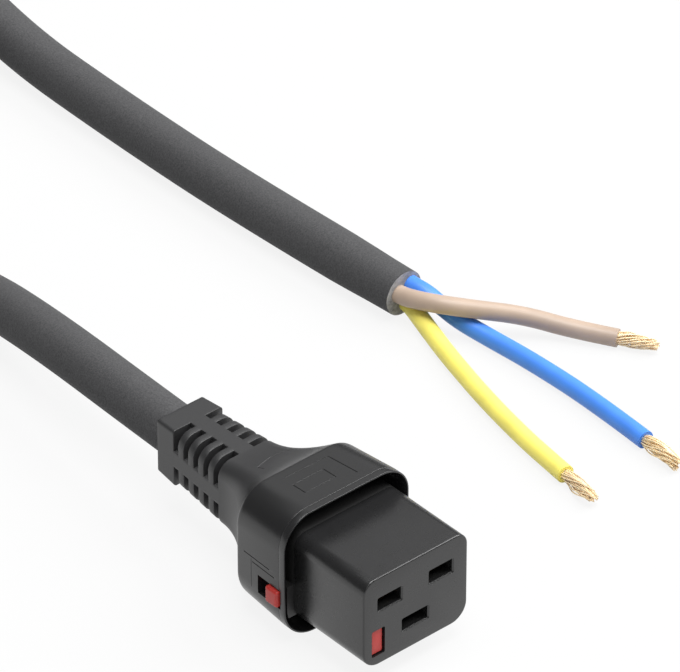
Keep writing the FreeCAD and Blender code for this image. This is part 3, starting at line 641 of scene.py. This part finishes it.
# Colour and roughness of what hardly shows; the tie's near-black also paints shade into the hollow of the
# lead's cut end
INSULATOR = ((0.012, 0.012, 0.012), 0.5)
TIE = ((0.02, 0.02, 0.02), 0.5)
STEEL = ((0.55, 0.55, 0.56), 0.32)
BRASS = ((0.62, 0.46, 0.22), 0.30)

SPARKED_GRAIN = ((5200.0, 2.0), 0.000012)


def skin(name, base, roughness, clouds, spread, grain, between=(0.35, 0.65), **constants):
    """Plastic or rubber: noise clouds the colour between two shades; the grain is (noise, depth)."""
    finish = Finish(name, base, Roughness=roughness, **constants)
    finish.tint(finish.noise(*clouds), shades(base, *spread), between)
    finish.bump(finish.noise(*grain[0]), grain[1])
    return finish


def moulded(name, base, roughness=GLOSSY):
    """Fine-sparked thermoplastic: faint clouding, grain too small to see singly."""
    finish = skin(name, base, roughness, (60.0, 4.0), (0.92, 1.08), SPARKED_GRAIN, IOR=1.60)
    finish.rough(finish.noise(900.0, 2.0), roughness - 0.04, roughness + 0.06)
    return finish.material


def rougher_with_painted_sheen(name, base, sheen_painted_black, start, end):
    """The same thermoplastic going over to a rougher finish from start to end along Y, its base colour to a
    lighter black that is painted sheen.
    """
    finish = Finish(name, base, Roughness=GLOSSY, IOR=1.60)
    way = finish.along(start, end)
    finish.tint(way, (base, sheen_painted_black), (0.0, 1.0))
    finish.rough(way, GLOSSY, DULL)
    finish.bump(finish.noise(*SPARKED_GRAIN[0]), SPARKED_GRAIN[1])
    return finish.material


def rubber(name, base):
    """Matte extruded jacket with a dull grain."""
    return skin(name, base, 0.72, (2600.0, 3.0, 0.7), (0.70, 1.30), ((3400.0, 3.0, 0.65), 0.00004),
                between=(0.30, 0.70), IOR=1.45, Specular_IOR_Level=0.25).material


def cut_rubber(name, base):
    """Freshly cut jacket: pale, slightly torn."""
    return skin(name, base, 0.75, (900.0, 4.0, 0.7), (0.55, 1.35), ((1400.0, 3.0), 0.00008),
                between=(0.30, 0.70), IOR=1.45).material


def insulation(name, base):
    """Smooth soft insulation with a low gloss."""
    return skin(name, base, 0.42, (140.0, 3.0), (0.95, 1.05), ((420.0, 2.0), 0.00002), IOR=1.46).material


def red_plastic(name, base):
    """Coloured thermoplastic with a faint grain."""
    return skin(name, base, 0.42, (300.0, 3.0), (0.93, 1.05), ((3200.0, 2.0), 0.00001), IOR=1.50).material


def bright_metal(name, base, roughness, grain=(1, 40, 1)):
    """Drawn or rolled metal with fine lines along its length."""
    finish = Finish(name, base, Roughness=roughness, Metallic=1.0)
    lines = finish.noise(700.0, 3.0, 0.6, grain)
    finish.tint(lines, shades(base, 0.82, 1.12))
    finish.rough(lines, roughness * 0.8, roughness * 1.3)
    return finish.material


def copper_strand(name, base):
    """Bright drawn copper."""
    finish = Finish(name, base, Roughness=0.34, Metallic=0.28)
    finish.tint(finish.noise(900.0, 3.0), shades(base, 0.85, 1.10))
    finish.rough(finish.noise(1600.0, 2.0), 0.28, 0.44)
    return finish.material


def give(piece, *materials):
    """Fills a piece's material slots; clearing them first would wipe the faces' own indices."""
    slots = piece.data.materials
    for index, material in enumerate(materials):
        if index < len(slots):
            slots[index] = material
        else:
            slots.append(material)
    return piece


def known(name, make, *values):
    """Material of that name, made the first time it is asked for."""
    return bpy.data.materials.get(name) or make(name, *values)


# ---------------- moulded covers
def outer_section(setback, housing, relief):
    """Width, height, upper and lower corner, and lift of the overmould behind the mating face.

    The housing leans in evenly to its rear edge, the flare follows the square of
    (1 - way) and the strain relief tapers evenly; the rear edge is softened by
    d -> (d + sqrt(d2 + e2)) / 2.  The last pocket hides the change to the end block.
    """
    setback = np.asarray(setback, float)
    lean = np.clip((setback - housing.seam) / (housing.crease - housing.seam), 0, 1)
    past = setback - housing.crease
    way = np.clip((past + np.hypot(past, housing.crease_round)) / 2 / (housing.neck - housing.crease), 0, 1)
    spread = (1 - way) ** 2
    taper = np.clip((setback - housing.neck) / (END_Y - FACE_Y - housing.neck), 0, 1)
    block = relief.last_pocket + relief.pocket_length / 2
    rib = np.clip((setback - housing.neck) / (block - housing.neck), 0, 1)

    def blend(rim, rear, neck, end, along):
        wide = rim + (rear - rim) * lean
        return neck + (wide - neck) * spread + (end - neck) * along

    rear = (HOUSING_WIDTH - 2 * housing.side_draft, HOUSING_HEIGHT - housing.top_draft)
    width = blend(HOUSING_WIDTH, rear[0], relief.neck_width, relief.end_width, taper)
    height = blend(HOUSING_HEIGHT, rear[1], relief.neck_height, relief.end_height, taper)
    corners = []
    for rim, back in ((housing.top_corner, housing.rear_top_corner),
                      (housing.bottom_corner, housing.rear_bottom_corner)):
        corner = blend(rim, back, relief.neck_corner, relief.rib_corner, rib)
        corners.append(np.where(setback > block - SAME_PLACE, relief.block_corner, corner))
    crown = relief.flare_crown * 4 * way * (1 - way)
    lift = (crown - housing.top_draft * lean * spread) / 2
    return width, height + crown, *corners, lift


def pocket_rows(relief):
    """Setbacks and depths of the rows that shape the pockets, edge rounds included."""
    bead = relief.pocket_round
    steps = ((0.0, -bead), (BEAD_STEP * bead, -BEAD_STEP * bead), (bead, 0.0), (np.inf, 0.0))
    rows = []
    for index in range(relief.pockets - 1, -1, -1):
        middle = relief.last_pocket - index * relief.pocket_pitch
        half = relief.pocket_length / 2
        rows += [(middle - half + shift, depth) for depth, shift in steps]
        rows += [(middle + half - shift, depth) for depth, shift in steps[::-1]]
    return rows


def pocket_columns(relief):
    """Column places in a quarter and the depth that each column lets a pocket have."""
    bead = relief.pocket_round
    slope = bead / relief.spine
    first = [(q, 0.0) for q in (*SPINE_COLUMNS, 1 - slope)]
    first += [(1 - BEAD_STEP * slope, BEAD_STEP * bead), (1.0, bead), (1.0, np.inf)]
    middle = [(q, np.inf) for q in np.linspace(1, 2, POCKET_COLUMNS)[1:-1]]
    last = [(3 - q, depth) for q, depth in first[::-1]]
    return np.array(first + middle + last).T


def overmould_grid(housing, relief):
    """Closed profile of rings: outside from seam to end, bore, inner mould's room, seat and recess."""
    q, column_depth = pocket_columns(relief)
    total = END_Y - FACE_Y
    bead = housing.edge_round
    turns = np.linspace(0, np.pi / 2, EDGE_ROWS)
    arc = [(bead * (1 - math.cos(t)), bead * (1 - math.sin(t))) for t in turns]
    soft = housing.crease_round
    crease = housing.crease + np.linspace(-5 * soft, 6 * soft, CREASE_ROWS)
    flare = np.linspace(housing.crease + 8 * soft, housing.neck, FLARE_ROWS)
    block = relief.last_pocket + relief.pocket_length / 2 + 2 * relief.pocket_round
    end_block = np.linspace(block, total - bead, BLOCK_ROWS, endpoint=False)
    outside = [(housing.seam + ahead, inset, 0.0) for ahead, inset in arc]
    outside += [(setback, 0.0, 0.0) for setback in (*crease, *flare)]
    outside += [(setback, 0.0, depth) for setback, depth in pocket_rows(relief)]
    outside += [(setback, 0.0, 0.0) for setback in end_block]
    outside += [(total - inset, ahead, 0.0) for ahead, inset in arc]
    setback, inset, depth = np.array(outside).T
    width, height, upper, lower, lift = outer_section(setback, housing, relief)
    corners = [np.maximum(corner - inset, LEAST_CORNER) for corner in (upper, lower)]
    rows = np.column_stack((at(setback), width - 2 * inset, height - 2 * inset, *corners))
    grid = section_grid(rows, q, spine=relief.spine)
    sink_pockets(grid, depth, column_depth, relief)
    grid[..., 2] += lift[:, None]

    both = np.concatenate((grid, section_grid(overmould_inside(housing, relief), q, spine=relief.spine)))
    bent = np.clip((both[..., 1] - at(housing.jacket_end)) / (END_Y - at(housing.jacket_end)), 0, 1)
    both[..., 2] += AXIS_Z + relief.rise * bent
    return both


def overmould_inside(housing, relief):
    """Rows of the overmould's inside, from the bore's mouth forwards to the seam."""
    low, high = span("inner_mould")
    width, _, height = high - low
    bore = (2 * relief.bore, 2 * relief.bore, relief.bore, relief.bore)
    back = (housing.mould_back, housing.mould_back, housing.mould_corner, housing.mould_corner)
    front = (width, height, housing.mould_corner, housing.mould_corner)
    flange = (2 * housing.seat_side, 2 * housing.seat_top, housing.seat_corner, housing.seat_corner)
    recess = inset_outline(rim_outline(housing), housing.recess_wall)
    rebate = inset_outline(recess, -housing.tongue_wall)
    tongue = housing.seam + housing.tongue_length
    rows = (
        (END_Y - FACE_Y, bore), (housing.jacket_end, bore), (housing.jacket_end, back),
        (housing.seat_rear, front), (housing.seat_rear, flange), (housing.recess_floor, flange),
        (housing.recess_floor, recess), (tongue, recess), (tongue, rebate), (housing.seam, rebate),
    )
    return [(at(setback), *outline) for setback, outline in rows]


def rim_outline(housing):
    """Width, height, upper and lower corner of the housing's front rim."""
    return HOUSING_WIDTH, HOUSING_HEIGHT, housing.top_corner, housing.bottom_corner


def inset_outline(outline, wall):
    """Outline moved inwards by a wall, or outwards by a negative one."""
    width, height, upper, lower = outline
    return width - 2 * wall, height - 2 * wall, upper - wall, lower - wall


def sink_pockets(grid, row_depth, column_depth, relief):
    """Moves pocket points towards a circle round the lead, by the lesser of row and column depth."""
    ring_depth = np.concatenate((column_depth, column_depth[-2::-1]))
    ring_depth = np.concatenate((ring_depth, ring_depth[-2:0:-1]))
    start = math.asin(relief.spine / relief.floor)
    inner = np.isinf(column_depth)
    way = np.zeros(len(column_depth))
    way[inner] = np.linspace(0, 1, inner.sum())
    way[np.flatnonzero(inner)[-1] + 1:] = 1
    angle = start + (np.pi / 2 - 2 * start) * way[None]
    circle = (relief.floor * np.sin(angle), relief.floor * np.cos(angle))
    target = grid.copy()
    target[..., 0], target[..., 2] = whole_ring(circle, circle)
    reach = np.linalg.norm(target - grid, axis=-1)
    sink = np.minimum(np.minimum(row_depth[:, None], ring_depth[None]), reach)
    share = np.where(sink > 0, sink / np.maximum(reach, TINY), 0)
    grid += (target - grid) * share[..., None]


def button_window(slide):
    """Tool for the opening in the housing's side."""
    front = at(slide.button_setback - slide.gap)
    rear = at(slide.button_setback + slide.button_length + slide.travel + slide.gap)
    half = slide.button_height / 2 + slide.gap
    low = (-HOUSING_WIDTH, front, slide.button_middle - half)
    high = (-slide.window_depth, rear, slide.button_middle + half)
    return block_cutter(low, high)


ENGRAVED_TOP = (
    ((-0.0056, 0.0321), (0.0055, 0.0318), (0.0060, 0.0237)),
    ((-0.0057, 0.0255), (-0.0057, 0.0292), (0.0020, 0.0292), (0.0020, 0.0255), (-0.0052, 0.0255)),
    ((-0.0036, 0.0400), (-0.0035, 0.0422), (0.0010, 0.0436), (0.0042, 0.0430), (0.0070, 0.0402)),
)
ENGRAVED_SIDE = (
    ((0.0158, 0.0322), (0.0158, 0.0245)),
    ((0.01545, 0.0300), (0.0084, 0.0300)),
    ((0.0147, 0.0296), (0.0147, 0.0230)),
)


def engraved_line(points, outward, size):
    """Four-sided bar along a line on a surface: line + size (side, outward, -side, -outward)."""
    legs = [np.linspace(a, b, ENGRAVED_STEPS, endpoint=False) for a, b in zip(points, points[1:])]
    places = np.concatenate((*legs, points[-1:]))
    tangent = unit(np.gradient(places, axis=0))
    side = unit(np.cross(tangent, outward))
    out = np.broadcast_to(outward, side.shape)
    return places[:, None] + size * np.stack((side, out, -side, -out), axis=1)


def engraved_tool(housing, relief):
    """Tool for the plain engraved frames on the top and round the button's window."""
    grids = []
    for route in ENGRAVED_TOP:
        x, setback = np.array(route).T
        _, height, _, _, lift = outer_section(setback, housing, relief)
        points = np.column_stack((x, at(setback), AXIS_Z + lift + height / 2))
        grids.append(engraved_line(points, np.array((0.0, 0.0, 1.0)), housing.engraving))
    for route in ENGRAVED_SIDE:
        z, setback = np.array(route).T
        width = outer_section(setback, housing, relief)[0]
        points = np.column_stack((-width / 2, at(setback), z))
        grids.append(engraved_line(points, np.array((-1.0, 0.0, 0.0)), housing.engraving))
    return grid_piece("cutter", *grids, merge=FINE_MERGE)


class ConnectorOvermould(Operator):
    """Adds the wide housing, flare and pocketed strain relief as one moulding"""
    bl_idname = "connector.overmould"
    bl_label = "Overmould"

    def execute(self, context):
        scene = context.scene
        grid = overmould_grid(scene.housing_sizes, scene.relief_sizes)
        piece = grid_piece("overmould", grid, closed=True)
        engraving = engraved_tool(scene.housing_sizes, scene.relief_sizes)
        carve(piece, button_window(scene.slide_sizes), engraving)
        colours = scene.connector_colours
        edge = at(scene.housing_sizes.crease)
        # Past the crease the colour turns to the relief's lighter black, painted sheen, while the roughness
        # rises to the real duller finish
        give(piece, known("overmould_black", rougher_with_painted_sheen, colours.housing, colours.relief, edge, edge + SHEEN_AND_ROUGHNESS_SPAN))
        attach(piece, "connector")
        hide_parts("overmould_body")
        return {"FINISHED"}


class ConnectorBezel(Operator):
    """Adds the thin-edged front ring with its tongue"""
    bl_idname = "connector.bezel"
    bl_label = "Front bezel"

    def execute(self, context):
        scene = context.scene
        sizes = scene.housing_sizes
        bead = sizes.edge_round
        whole = rim_outline(sizes)
        recess = inset_outline(whole, sizes.recess_wall)
        tongue = inset_outline(recess, -sizes.tongue_wall)
        lip = inset_outline(whole, sizes.rim_lip)
        rows = rounded_edge(at(sizes.rim), *whole, bead, 1)
        rows += rounded_edge(at(sizes.seam), *whole, bead, -1)
        rows += [
            (at(sizes.seam), *tongue),
            (at(sizes.seam + sizes.tongue_length), *tongue),
            (at(sizes.seam + sizes.tongue_length), *recess),
            (at(sizes.rim + sizes.rim_chamfer), *recess),
            (at(sizes.rim), *lip),
        ]
        grid = section_grid(rows, across=(0.0, AXIS_Z))
        piece = grid_piece("bezel", grid, closed=True)
        carve(piece, button_window(scene.slide_sizes))
        give(piece, known("housing_black", moulded, scene.connector_colours.housing))
        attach(piece, "connector")
        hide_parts("front_bezel")
        return {"FINISHED"}


# ---------------- nose
def slot_places(nose):
    """(x, z, size) of the two line slots and the earth slot."""
    half = nose.pole_spacing / 2
    return (
        (-half, nose.line_height, tuple(nose.line_slot)),
        (half, nose.line_height, tuple(nose.line_slot)),
        (0.0, nose.earth_height, tuple(nose.earth_slot)),
    )


def slot_cutter(x, z, size, nose):
    """Tool for one pin slot: chamfered mouth, then straight."""
    chamfer, corner = nose.slot_chamfer, nose.slot_corner
    mouth = (size[0] + 2 * chamfer, size[1] + 2 * chamfer, corner + chamfer)
    rows = [(at(-OVERCUT), *mouth), (at(0.0), *mouth)]
    rows += [(at(chamfer), *size, corner), (at(nose.face_wall + OVERCUT), *size, corner)]
    return grid_piece("cutter", section_grid(rows, across=(x, z)))


def bar_window(slide, nose):
    """Tool for the release bar's window in the face."""
    low = (SLIDE_HIGH[0] - slide.bar_width - slide.gap, at(-OVERCUT), SLIDE_LOW[2] - slide.gap)
    high = (SLIDE_HIGH[0] + slide.gap, at(nose.face_wall + OVERCUT), SLIDE_HIGH[2] + slide.gap)
    return block_cutter(low, high, slide.channel_corner)


class ConnectorNose(Operator):
    """Adds the grey sleeve of the nose with its face, pin slots and bar window"""
    bl_idname = "connector.nose"
    bl_label = "Nose sleeve"

    def execute(self, context):
        scene = context.scene
        nose = scene.nose_sizes
        outline = (NOSE_WIDTH, NOSE_HEIGHT, nose.top_corner, nose.bottom_corner)
        inside = inset_outline(outline, nose.wall)
        rear = NOSE_HIGH[1]
        rows = rounded_edge(FACE_Y, *outline, nose.face_round, 1, steps=6)
        rows += rounded_edge(rear, *outline, nose.rear_round, -1, steps=3)
        rows += [(rear, *inside), (at(nose.face_wall), *inside)]
        middle = (NOSE_LOW[2] + NOSE_HIGH[2]) / 2
        piece = grid_piece("nose", section_grid(rows, across=(0.0, middle)))
        slots = [slot_cutter(x, z, size, nose) for x, z, size in slot_places(nose)]
        carve(piece, *slots, bar_window(scene.slide_sizes, nose))
        give(piece, known("nose_grey", moulded, scene.connector_colours.nose))
        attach(piece, "connector")
        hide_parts("nose_sleeve")
        return {"FINISHED"}


# ---------------- release slide
class ConnectorSlide(Operator):
    """Adds the red release slide: bar along the nose and button through the housing's side"""
    bl_idname = "connector.slide"
    bl_label = "Release slide"

    def execute(self, context):
        scene = context.scene
        slide = scene.slide_sizes
        size = SLIDE_HIGH - SLIDE_LOW
        middle_z = (SLIDE_LOW[2] + SLIDE_HIGH[2]) / 2
        bar_x = SLIDE_HIGH[0] - slide.bar_width / 2
        bead = slide.bar_round
        bar = (slide.bar_width, size[2], bead, bead)
        rows = rounded_edge(SLIDE_LOW[1], *bar, bead, 1) + rounded_edge(SLIDE_HIGH[1], *bar, bead, -1)
        piece = grid_piece("slide", section_grid(rows, across=(bar_x, middle_z)))
        arm = (slide.button_length, slide.button_height, slide.button_corner, slide.button_corner)
        rows = rounded_edge(SLIDE_LOW[0], *arm, slide.button_round, 1, steps=7)
        rows += [(bar_x, *arm)]
        middle_y = at(slide.button_setback + slide.button_length / 2)
        across = (middle_y, slide.button_middle)
        button = grid_piece("cutter", section_grid(rows, across=across, axes=(1, 0, 2)))
        carve(piece, button, how="UNION")
        give(piece, known("slide_red", red_plastic, scene.connector_colours.slide))
        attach(piece, "release")
        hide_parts("release_slide")
        return {"FINISHED"}


class ConnectorSpring(Operator):
    """Adds the spring behind the bar, at the length it has in the imported model; the real one shortens as
    the slide is pulled.

    Its wire follows x = r cos t, z = r sin t, with y rising evenly from front end to rear end.
    """
    bl_idname = "connector.spring"
    bl_label = "Spring"

    def execute(self, context):
        slide = context.scene.slide_sizes
        low, high = span("lock_spring")
        middle = (low + high) / 2
        wire = slide.spring_wire
        radius = (high[0] - low[0]) / 2 - wire
        turn = np.linspace(0, 2 * np.pi * slide.spring_turns, SPRING_STEPS * slide.spring_turns + 1)
        y = np.linspace(low[1] + wire, high[1] - wire, len(turn))
        line = np.column_stack((middle[0] + radius * np.cos(turn), y, middle[2] + radius * np.sin(turn)))
        piece = grid_piece("spring", tube_grid(line, wire, SPRING_COLUMNS))
        give(piece, known("plate_steel", bright_metal, *STEEL))
        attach(piece, "connector")
        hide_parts("lock_spring")
        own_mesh(piece)
        return {"FINISHED"}


# ---------------- inner pieces kept as packed
def packed_finishes(colours):
    """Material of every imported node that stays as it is."""
    black = known("insulator_black", moulded, *INSULATOR)
    steel = known("plate_steel", bright_metal, *STEEL)
    brass = known("contact_sheet", bright_metal, *BRASS)
    finishes = {"contact_carrier": black, "inner_mould": black, "lock_plate": steel}
    leads = {"live": "brown", "neutral": "blue", "earth": "yellow"}
    for pole, name in leads.items():
        finishes[pole + "_contact"] = brass
        finishes[pole + "_core_lead"] = known(name + "_skin", insulation, getattr(colours, name))
    return finishes


class ConnectorInside(Operator):
    """Gives the insulator, contacts, lock plate and inner cores their finishes"""
    bl_idname = "connector.inside"
    bl_label = "Inner pieces"

    def execute(self, context):
        for node, material in packed_finishes(context.scene.connector_colours).items():
            give(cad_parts[node], material)
        return {"FINISHED"}


# ---------------- lead and cores
def smooth(way):
    """Way from 0 to 1 that starts and ends gently."""
    way = np.clip(way, 0, 1)
    return way * way * (3 - 2 * way)


def coil_points(radius, pitch, height, step=COIL_STEP):
    """Control points of the coil's turns, clockwise from the -X side to the +X side.

    The lower layer winds inwards one pitch a turn, the cord climbs at the inner
    turn, and the upper layer winds outwards again.
    """
    turn = np.arange(step, COIL_HALF_TURNS * 180.0 - step / 2, step)

    def shifts(*starts):
        return sum(smooth((turn - start) / COIL_EASE) for start in starts)

    inwards, outwards = shifts(*COIL_INWARDS), shifts(*COIL_OUTWARDS)
    reach = (radius - pitch * (inwards - outwards)) / math.cos(math.radians(step / 2))
    angle = np.radians(180.0 - turn)
    x = COIL_CENTRE[0] + reach * np.cos(angle)
    y = COIL_CENTRE[1] + reach * np.sin(angle)
    z = height + pitch * shifts(COIL_CLIMB)
    return np.column_stack((x, y, z))


class ConnectorLead(Operator):
    """Adds the rubber lead, from the strain relief round its coil to the cut end"""
    bl_idname = "connector.lead"
    bl_label = "Lead"

    def execute(self, context):
        scene = context.scene
        sizes = scene.lead_sizes
        radius = sizes.diameter / 2
        coil = coil_points(sizes.coil_turn, sizes.diameter, radius)
        line = spline_points(np.concatenate((LEAD_ROUTE, coil, TAIL_ROUTE)), LEAD_STEPS)
        left = np.append(step_lengths(line)[::-1].cumsum()[::-1], 0.0)
        outer = radius * (1 - sizes.pinch * (1 - smooth(left / sizes.pinch_length)))
        inner = outer - sizes.jacket_wall
        piece = hollow_ended_tube("lead", line, outer, inner, sizes.cut_depth, LEAD_COLUMNS)
        colours = scene.connector_colours
        rubber_black = known("jacket_rubber", rubber, colours.jacket)
        cut = known("jacket_cut", cut_rubber, colours.cut)
        # The hollow inside the cut end gets the tie's near-black: painted shade, darker than the jacket's
        # own rubber
        inside = known("jacket_inside", cut_rubber, TIE[0])
        give(piece, rubber_black, cut, inside)
        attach(piece, "connector")
        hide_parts("cable_lead", "cable_coil", "cable_tail")
        return {"FINISHED"}


def strand_bundle(name, start, heading, reach, sizes, seed):
    """Frayed conductor: strands in rings round a middle one, each twisted, bulging and cut unevenly.

    A strand lies at line + r(t) (side cos a(t) + up sin a(t)), where r swells by half a
    sine along the bundle, a turns steadily, and both wander a little.
    """
    draw = np.random.default_rng(seed)
    places = [(0.0, 0.0)]
    for ring in range(1, sizes.rings + 1):
        around = 2 * np.pi * (np.arange(6 * ring) + 0.5 * (ring % 2)) / (6 * ring)
        places += [(ring / sizes.rings, angle) for angle in around]
    t = np.linspace(0, 1, STRAND_STEPS)
    grids = []
    room = sizes.conductor - sizes.strand
    side, up = level_frame(heading)
    for share, angle in places:
        size = reach * (1 + draw.uniform(*STRAND_CUT))
        swell = 1 + draw.uniform(*STRAND_BULGE) * np.sin(np.pi * t) ** 1.2 * np.clip(4 * t, 0, 1)
        spread = room * share * swell * (1 + STRAND_SPREAD * draw.standard_normal() * t)
        turn = angle + STRAND_TWIST * t + STRAND_TURN * draw.standard_normal() * t
        along = (-sizes.root + (size + sizes.root) * t)[:, None]
        drift = STRAND_DRIFT * draw.standard_normal(2)
        line = start + heading * along
        line = line + side * (spread * np.cos(turn) + drift[0] * t ** 2)[:, None]
        line = line + up * (spread * np.sin(turn) + drift[1] * t ** 2)[:, None]
        grids.append(tube_grid(line, sizes.strand, STRAND_COLUMNS))
    return grid_piece(name, *grids, sharp=STRAND_SHARP, merge=FINE_MERGE)


class ConnectorCores(Operator):
    """Adds the three insulated cores and their frayed strands"""
    bl_idname = "connector.cores"
    bl_label = "Bared cores"

    def execute(self, context):
        scene = context.scene
        sizes = scene.core_sizes
        colours = scene.connector_colours
        radius = sizes.diameter / 2
        copper = known("copper_strand", copper_strand, colours.copper)
        for seed, (name, route) in enumerate(CORE_ROUTES.items(), STRAND_SEED):
            route = np.array(route)
            inside = route[0] + np.array((0.0, sizes.hidden, 0.0))
            line = spline_points(np.concatenate((inside[None], route)), CORE_STEPS)
            inner = sizes.conductor + sizes.looseness
            core = hollow_ended_tube(name + "_insulated", line, radius, inner, sizes.hollow, CORE_COLUMNS)
            skin = known(name + "_skin", insulation, getattr(colours, name))
            give(core, skin, skin, copper)
            heading = unit(line[-1] - line[-2])
            reach = STRAND_LENGTHS[name]
            strands = strand_bundle(name + "_copper", line[-1], heading, reach, sizes, seed)
            give(strands, copper)
            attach(core, "connector")
            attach(strands, "connector")
            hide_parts(name + "_core")
            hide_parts(name + "_strands")
        return {"FINISHED"}


class ConnectorTie(Operator):
    """Gives the coil's tie its finish"""
    bl_idname = "connector.tie"
    bl_label = "Coil tie"

    def execute(self, context):
        give(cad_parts["coil_tie"], known("tie_black", moulded, *TIE))
        return {"FINISHED"}


# ---------------- studio
FLOOR_GREY = (0.55, 0.55, 0.55)
FLOOR_REACH = 6
WORLD_GREY = (0.10, 0.10, 0.10)
AIM = (0.04, 0.05, 0.0)
SOFTBOXES = (
    ("overhead", (0.05, -0.05, 1.6), (1.0, 1.0), 28.0),
    ("right", (1.3, -0.3, 1.2), (1.4, 1.2), 36.0),
    ("right_rear", (1.1, 1.3, 1.25), (1.3, 1.0), 2.0),
    ("front_left", (-1.1, -1.2, 1.6), (0.9, 0.9), 6.0),
)


def floor_finish(white_share):
    """Pale floor: diffuse for its shadows, with plain white where it is seen, mirrored or seen through."""
    finish = Finish("floor_white", FLOOR_GREY)
    path = finish.node("LightPath").outputs
    seen = path["Is Camera Ray"]
    for ray in ("Is Glossy Ray", "Is Transmission Ray"):
        seen = finish.combine("MAXIMUM", seen, path[ray])
    diffuse = finish.node("BsdfDiffuse", Color=(*FLOOR_GREY, 1.0)).outputs["BSDF"]
    glow = finish.node("Emission").outputs["Emission"]
    mix = finish.node("MixShader", finish.combine("MULTIPLY", seen, white_share), diffuse, glow)
    finish.fill(finish.tree.nodes["Material Output"], Surface=mix.outputs["Shader"])
    finish.tree.nodes.remove(finish.shader)
    return finish.material


def softbox(name, place, size, power):
    """Rectangular area light looking at the middle of the scene."""
    light = bpy.data.lights.new(name, "AREA")
    light.shape = "RECTANGLE"
    light.size, light.size_y = size
    light.energy = power
    lamp = bpy.data.objects.new(name, light)
    lamp.location = place
    lamp.rotation_euler = (Vector(AIM) - Vector(place)).to_track_quat("-Z", "Y").to_euler()
    bpy.context.scene.collection.objects.link(lamp)


class ConnectorStudio(Operator):
    """Adds the camera, the pale floor and the soft lights"""
    bl_idname = "connector.studio"
    bl_label = "Studio"

    def execute(self, context):
        scene = context.scene
        studio = scene.studio
        lens = bpy.data.cameras.new("camera")
        lens.lens = studio.lens
        lens.sensor_width = 36.0
        lens.clip_start = 0.01
        lens.clip_end = 20.0
        camera = bpy.data.objects.new("camera", lens)
        camera.location = studio.camera_place
        camera.rotation_euler = studio.camera_turn
        scene.collection.objects.link(camera)
        scene.camera = camera

        corners = [(x * FLOOR_REACH, y * FLOOR_REACH, 0) for x, y in ((-1, -1), (1, -1), (1, 1), (-1, 1))]
        floor = mesh_piece("floor", corners, [(0, 1, 2, 3)])
        give(floor, floor_finish(studio.floor_white))
        for box in SOFTBOXES:
            softbox(*box)

        world = bpy.data.worlds.new("studio")
        scene.world = world
        world.use_nodes = True
        world.node_tree.nodes["Background"].inputs["Color"].default_value = (*WORLD_GREY, 1.0)
        scene.view_settings.view_transform = "Standard"
        return {"FINISHED"}


class ConnectorPanel(Panel):
    """Buttons for the connector's pieces"""
    bl_idname = "VIEW3D_PT_connector"
    bl_label = "Connector"
    bl_space_type = "VIEW_3D"
    bl_region_type = "UI"
    bl_category = "Connector"

    def draw(self, context):
        """One button for each piece, then every size and colour."""
        for operator in OPERATORS:
            self.layout.operator(operator.bl_idname)
        for group in GROUPS:
            values = getattr(context.scene, group)
            for name in values.__annotations__:
                self.layout.prop(values, name)


OPERATORS = (
    ConnectorStudio,
    ConnectorLead,
    ConnectorCores,
    ConnectorTie,
    ConnectorOvermould,
    ConnectorBezel,
    ConnectorNose,
    ConnectorSlide,
    ConnectorSpring,
    ConnectorInside,
)


def register():
    """Adds the size groups to the scene, then the operators and the panel."""
    for group, kind in GROUPS.items():
        bpy.utils.register_class(kind)
        setattr(bpy.types.Scene, group, PointerProperty(type=kind))
    for kind in (*OPERATORS, ConnectorPanel):
        bpy.utils.register_class(kind)


def unregister():
    """Takes away what register adds, in the opposite order."""
    for kind in (ConnectorPanel, *reversed(OPERATORS)):
        bpy.utils.unregister_class(kind)
    for group, kind in reversed(GROUPS.items()):
        delattr(bpy.types.Scene, group)
        bpy.utils.unregister_class(kind)


def main():
    """Builds everything in order."""
    register()
    for operator in OPERATORS:
        family, name = operator.bl_idname.split(".")
        getattr(getattr(bpy.ops, family), name)()


if __name__ == "__main__":
    main()
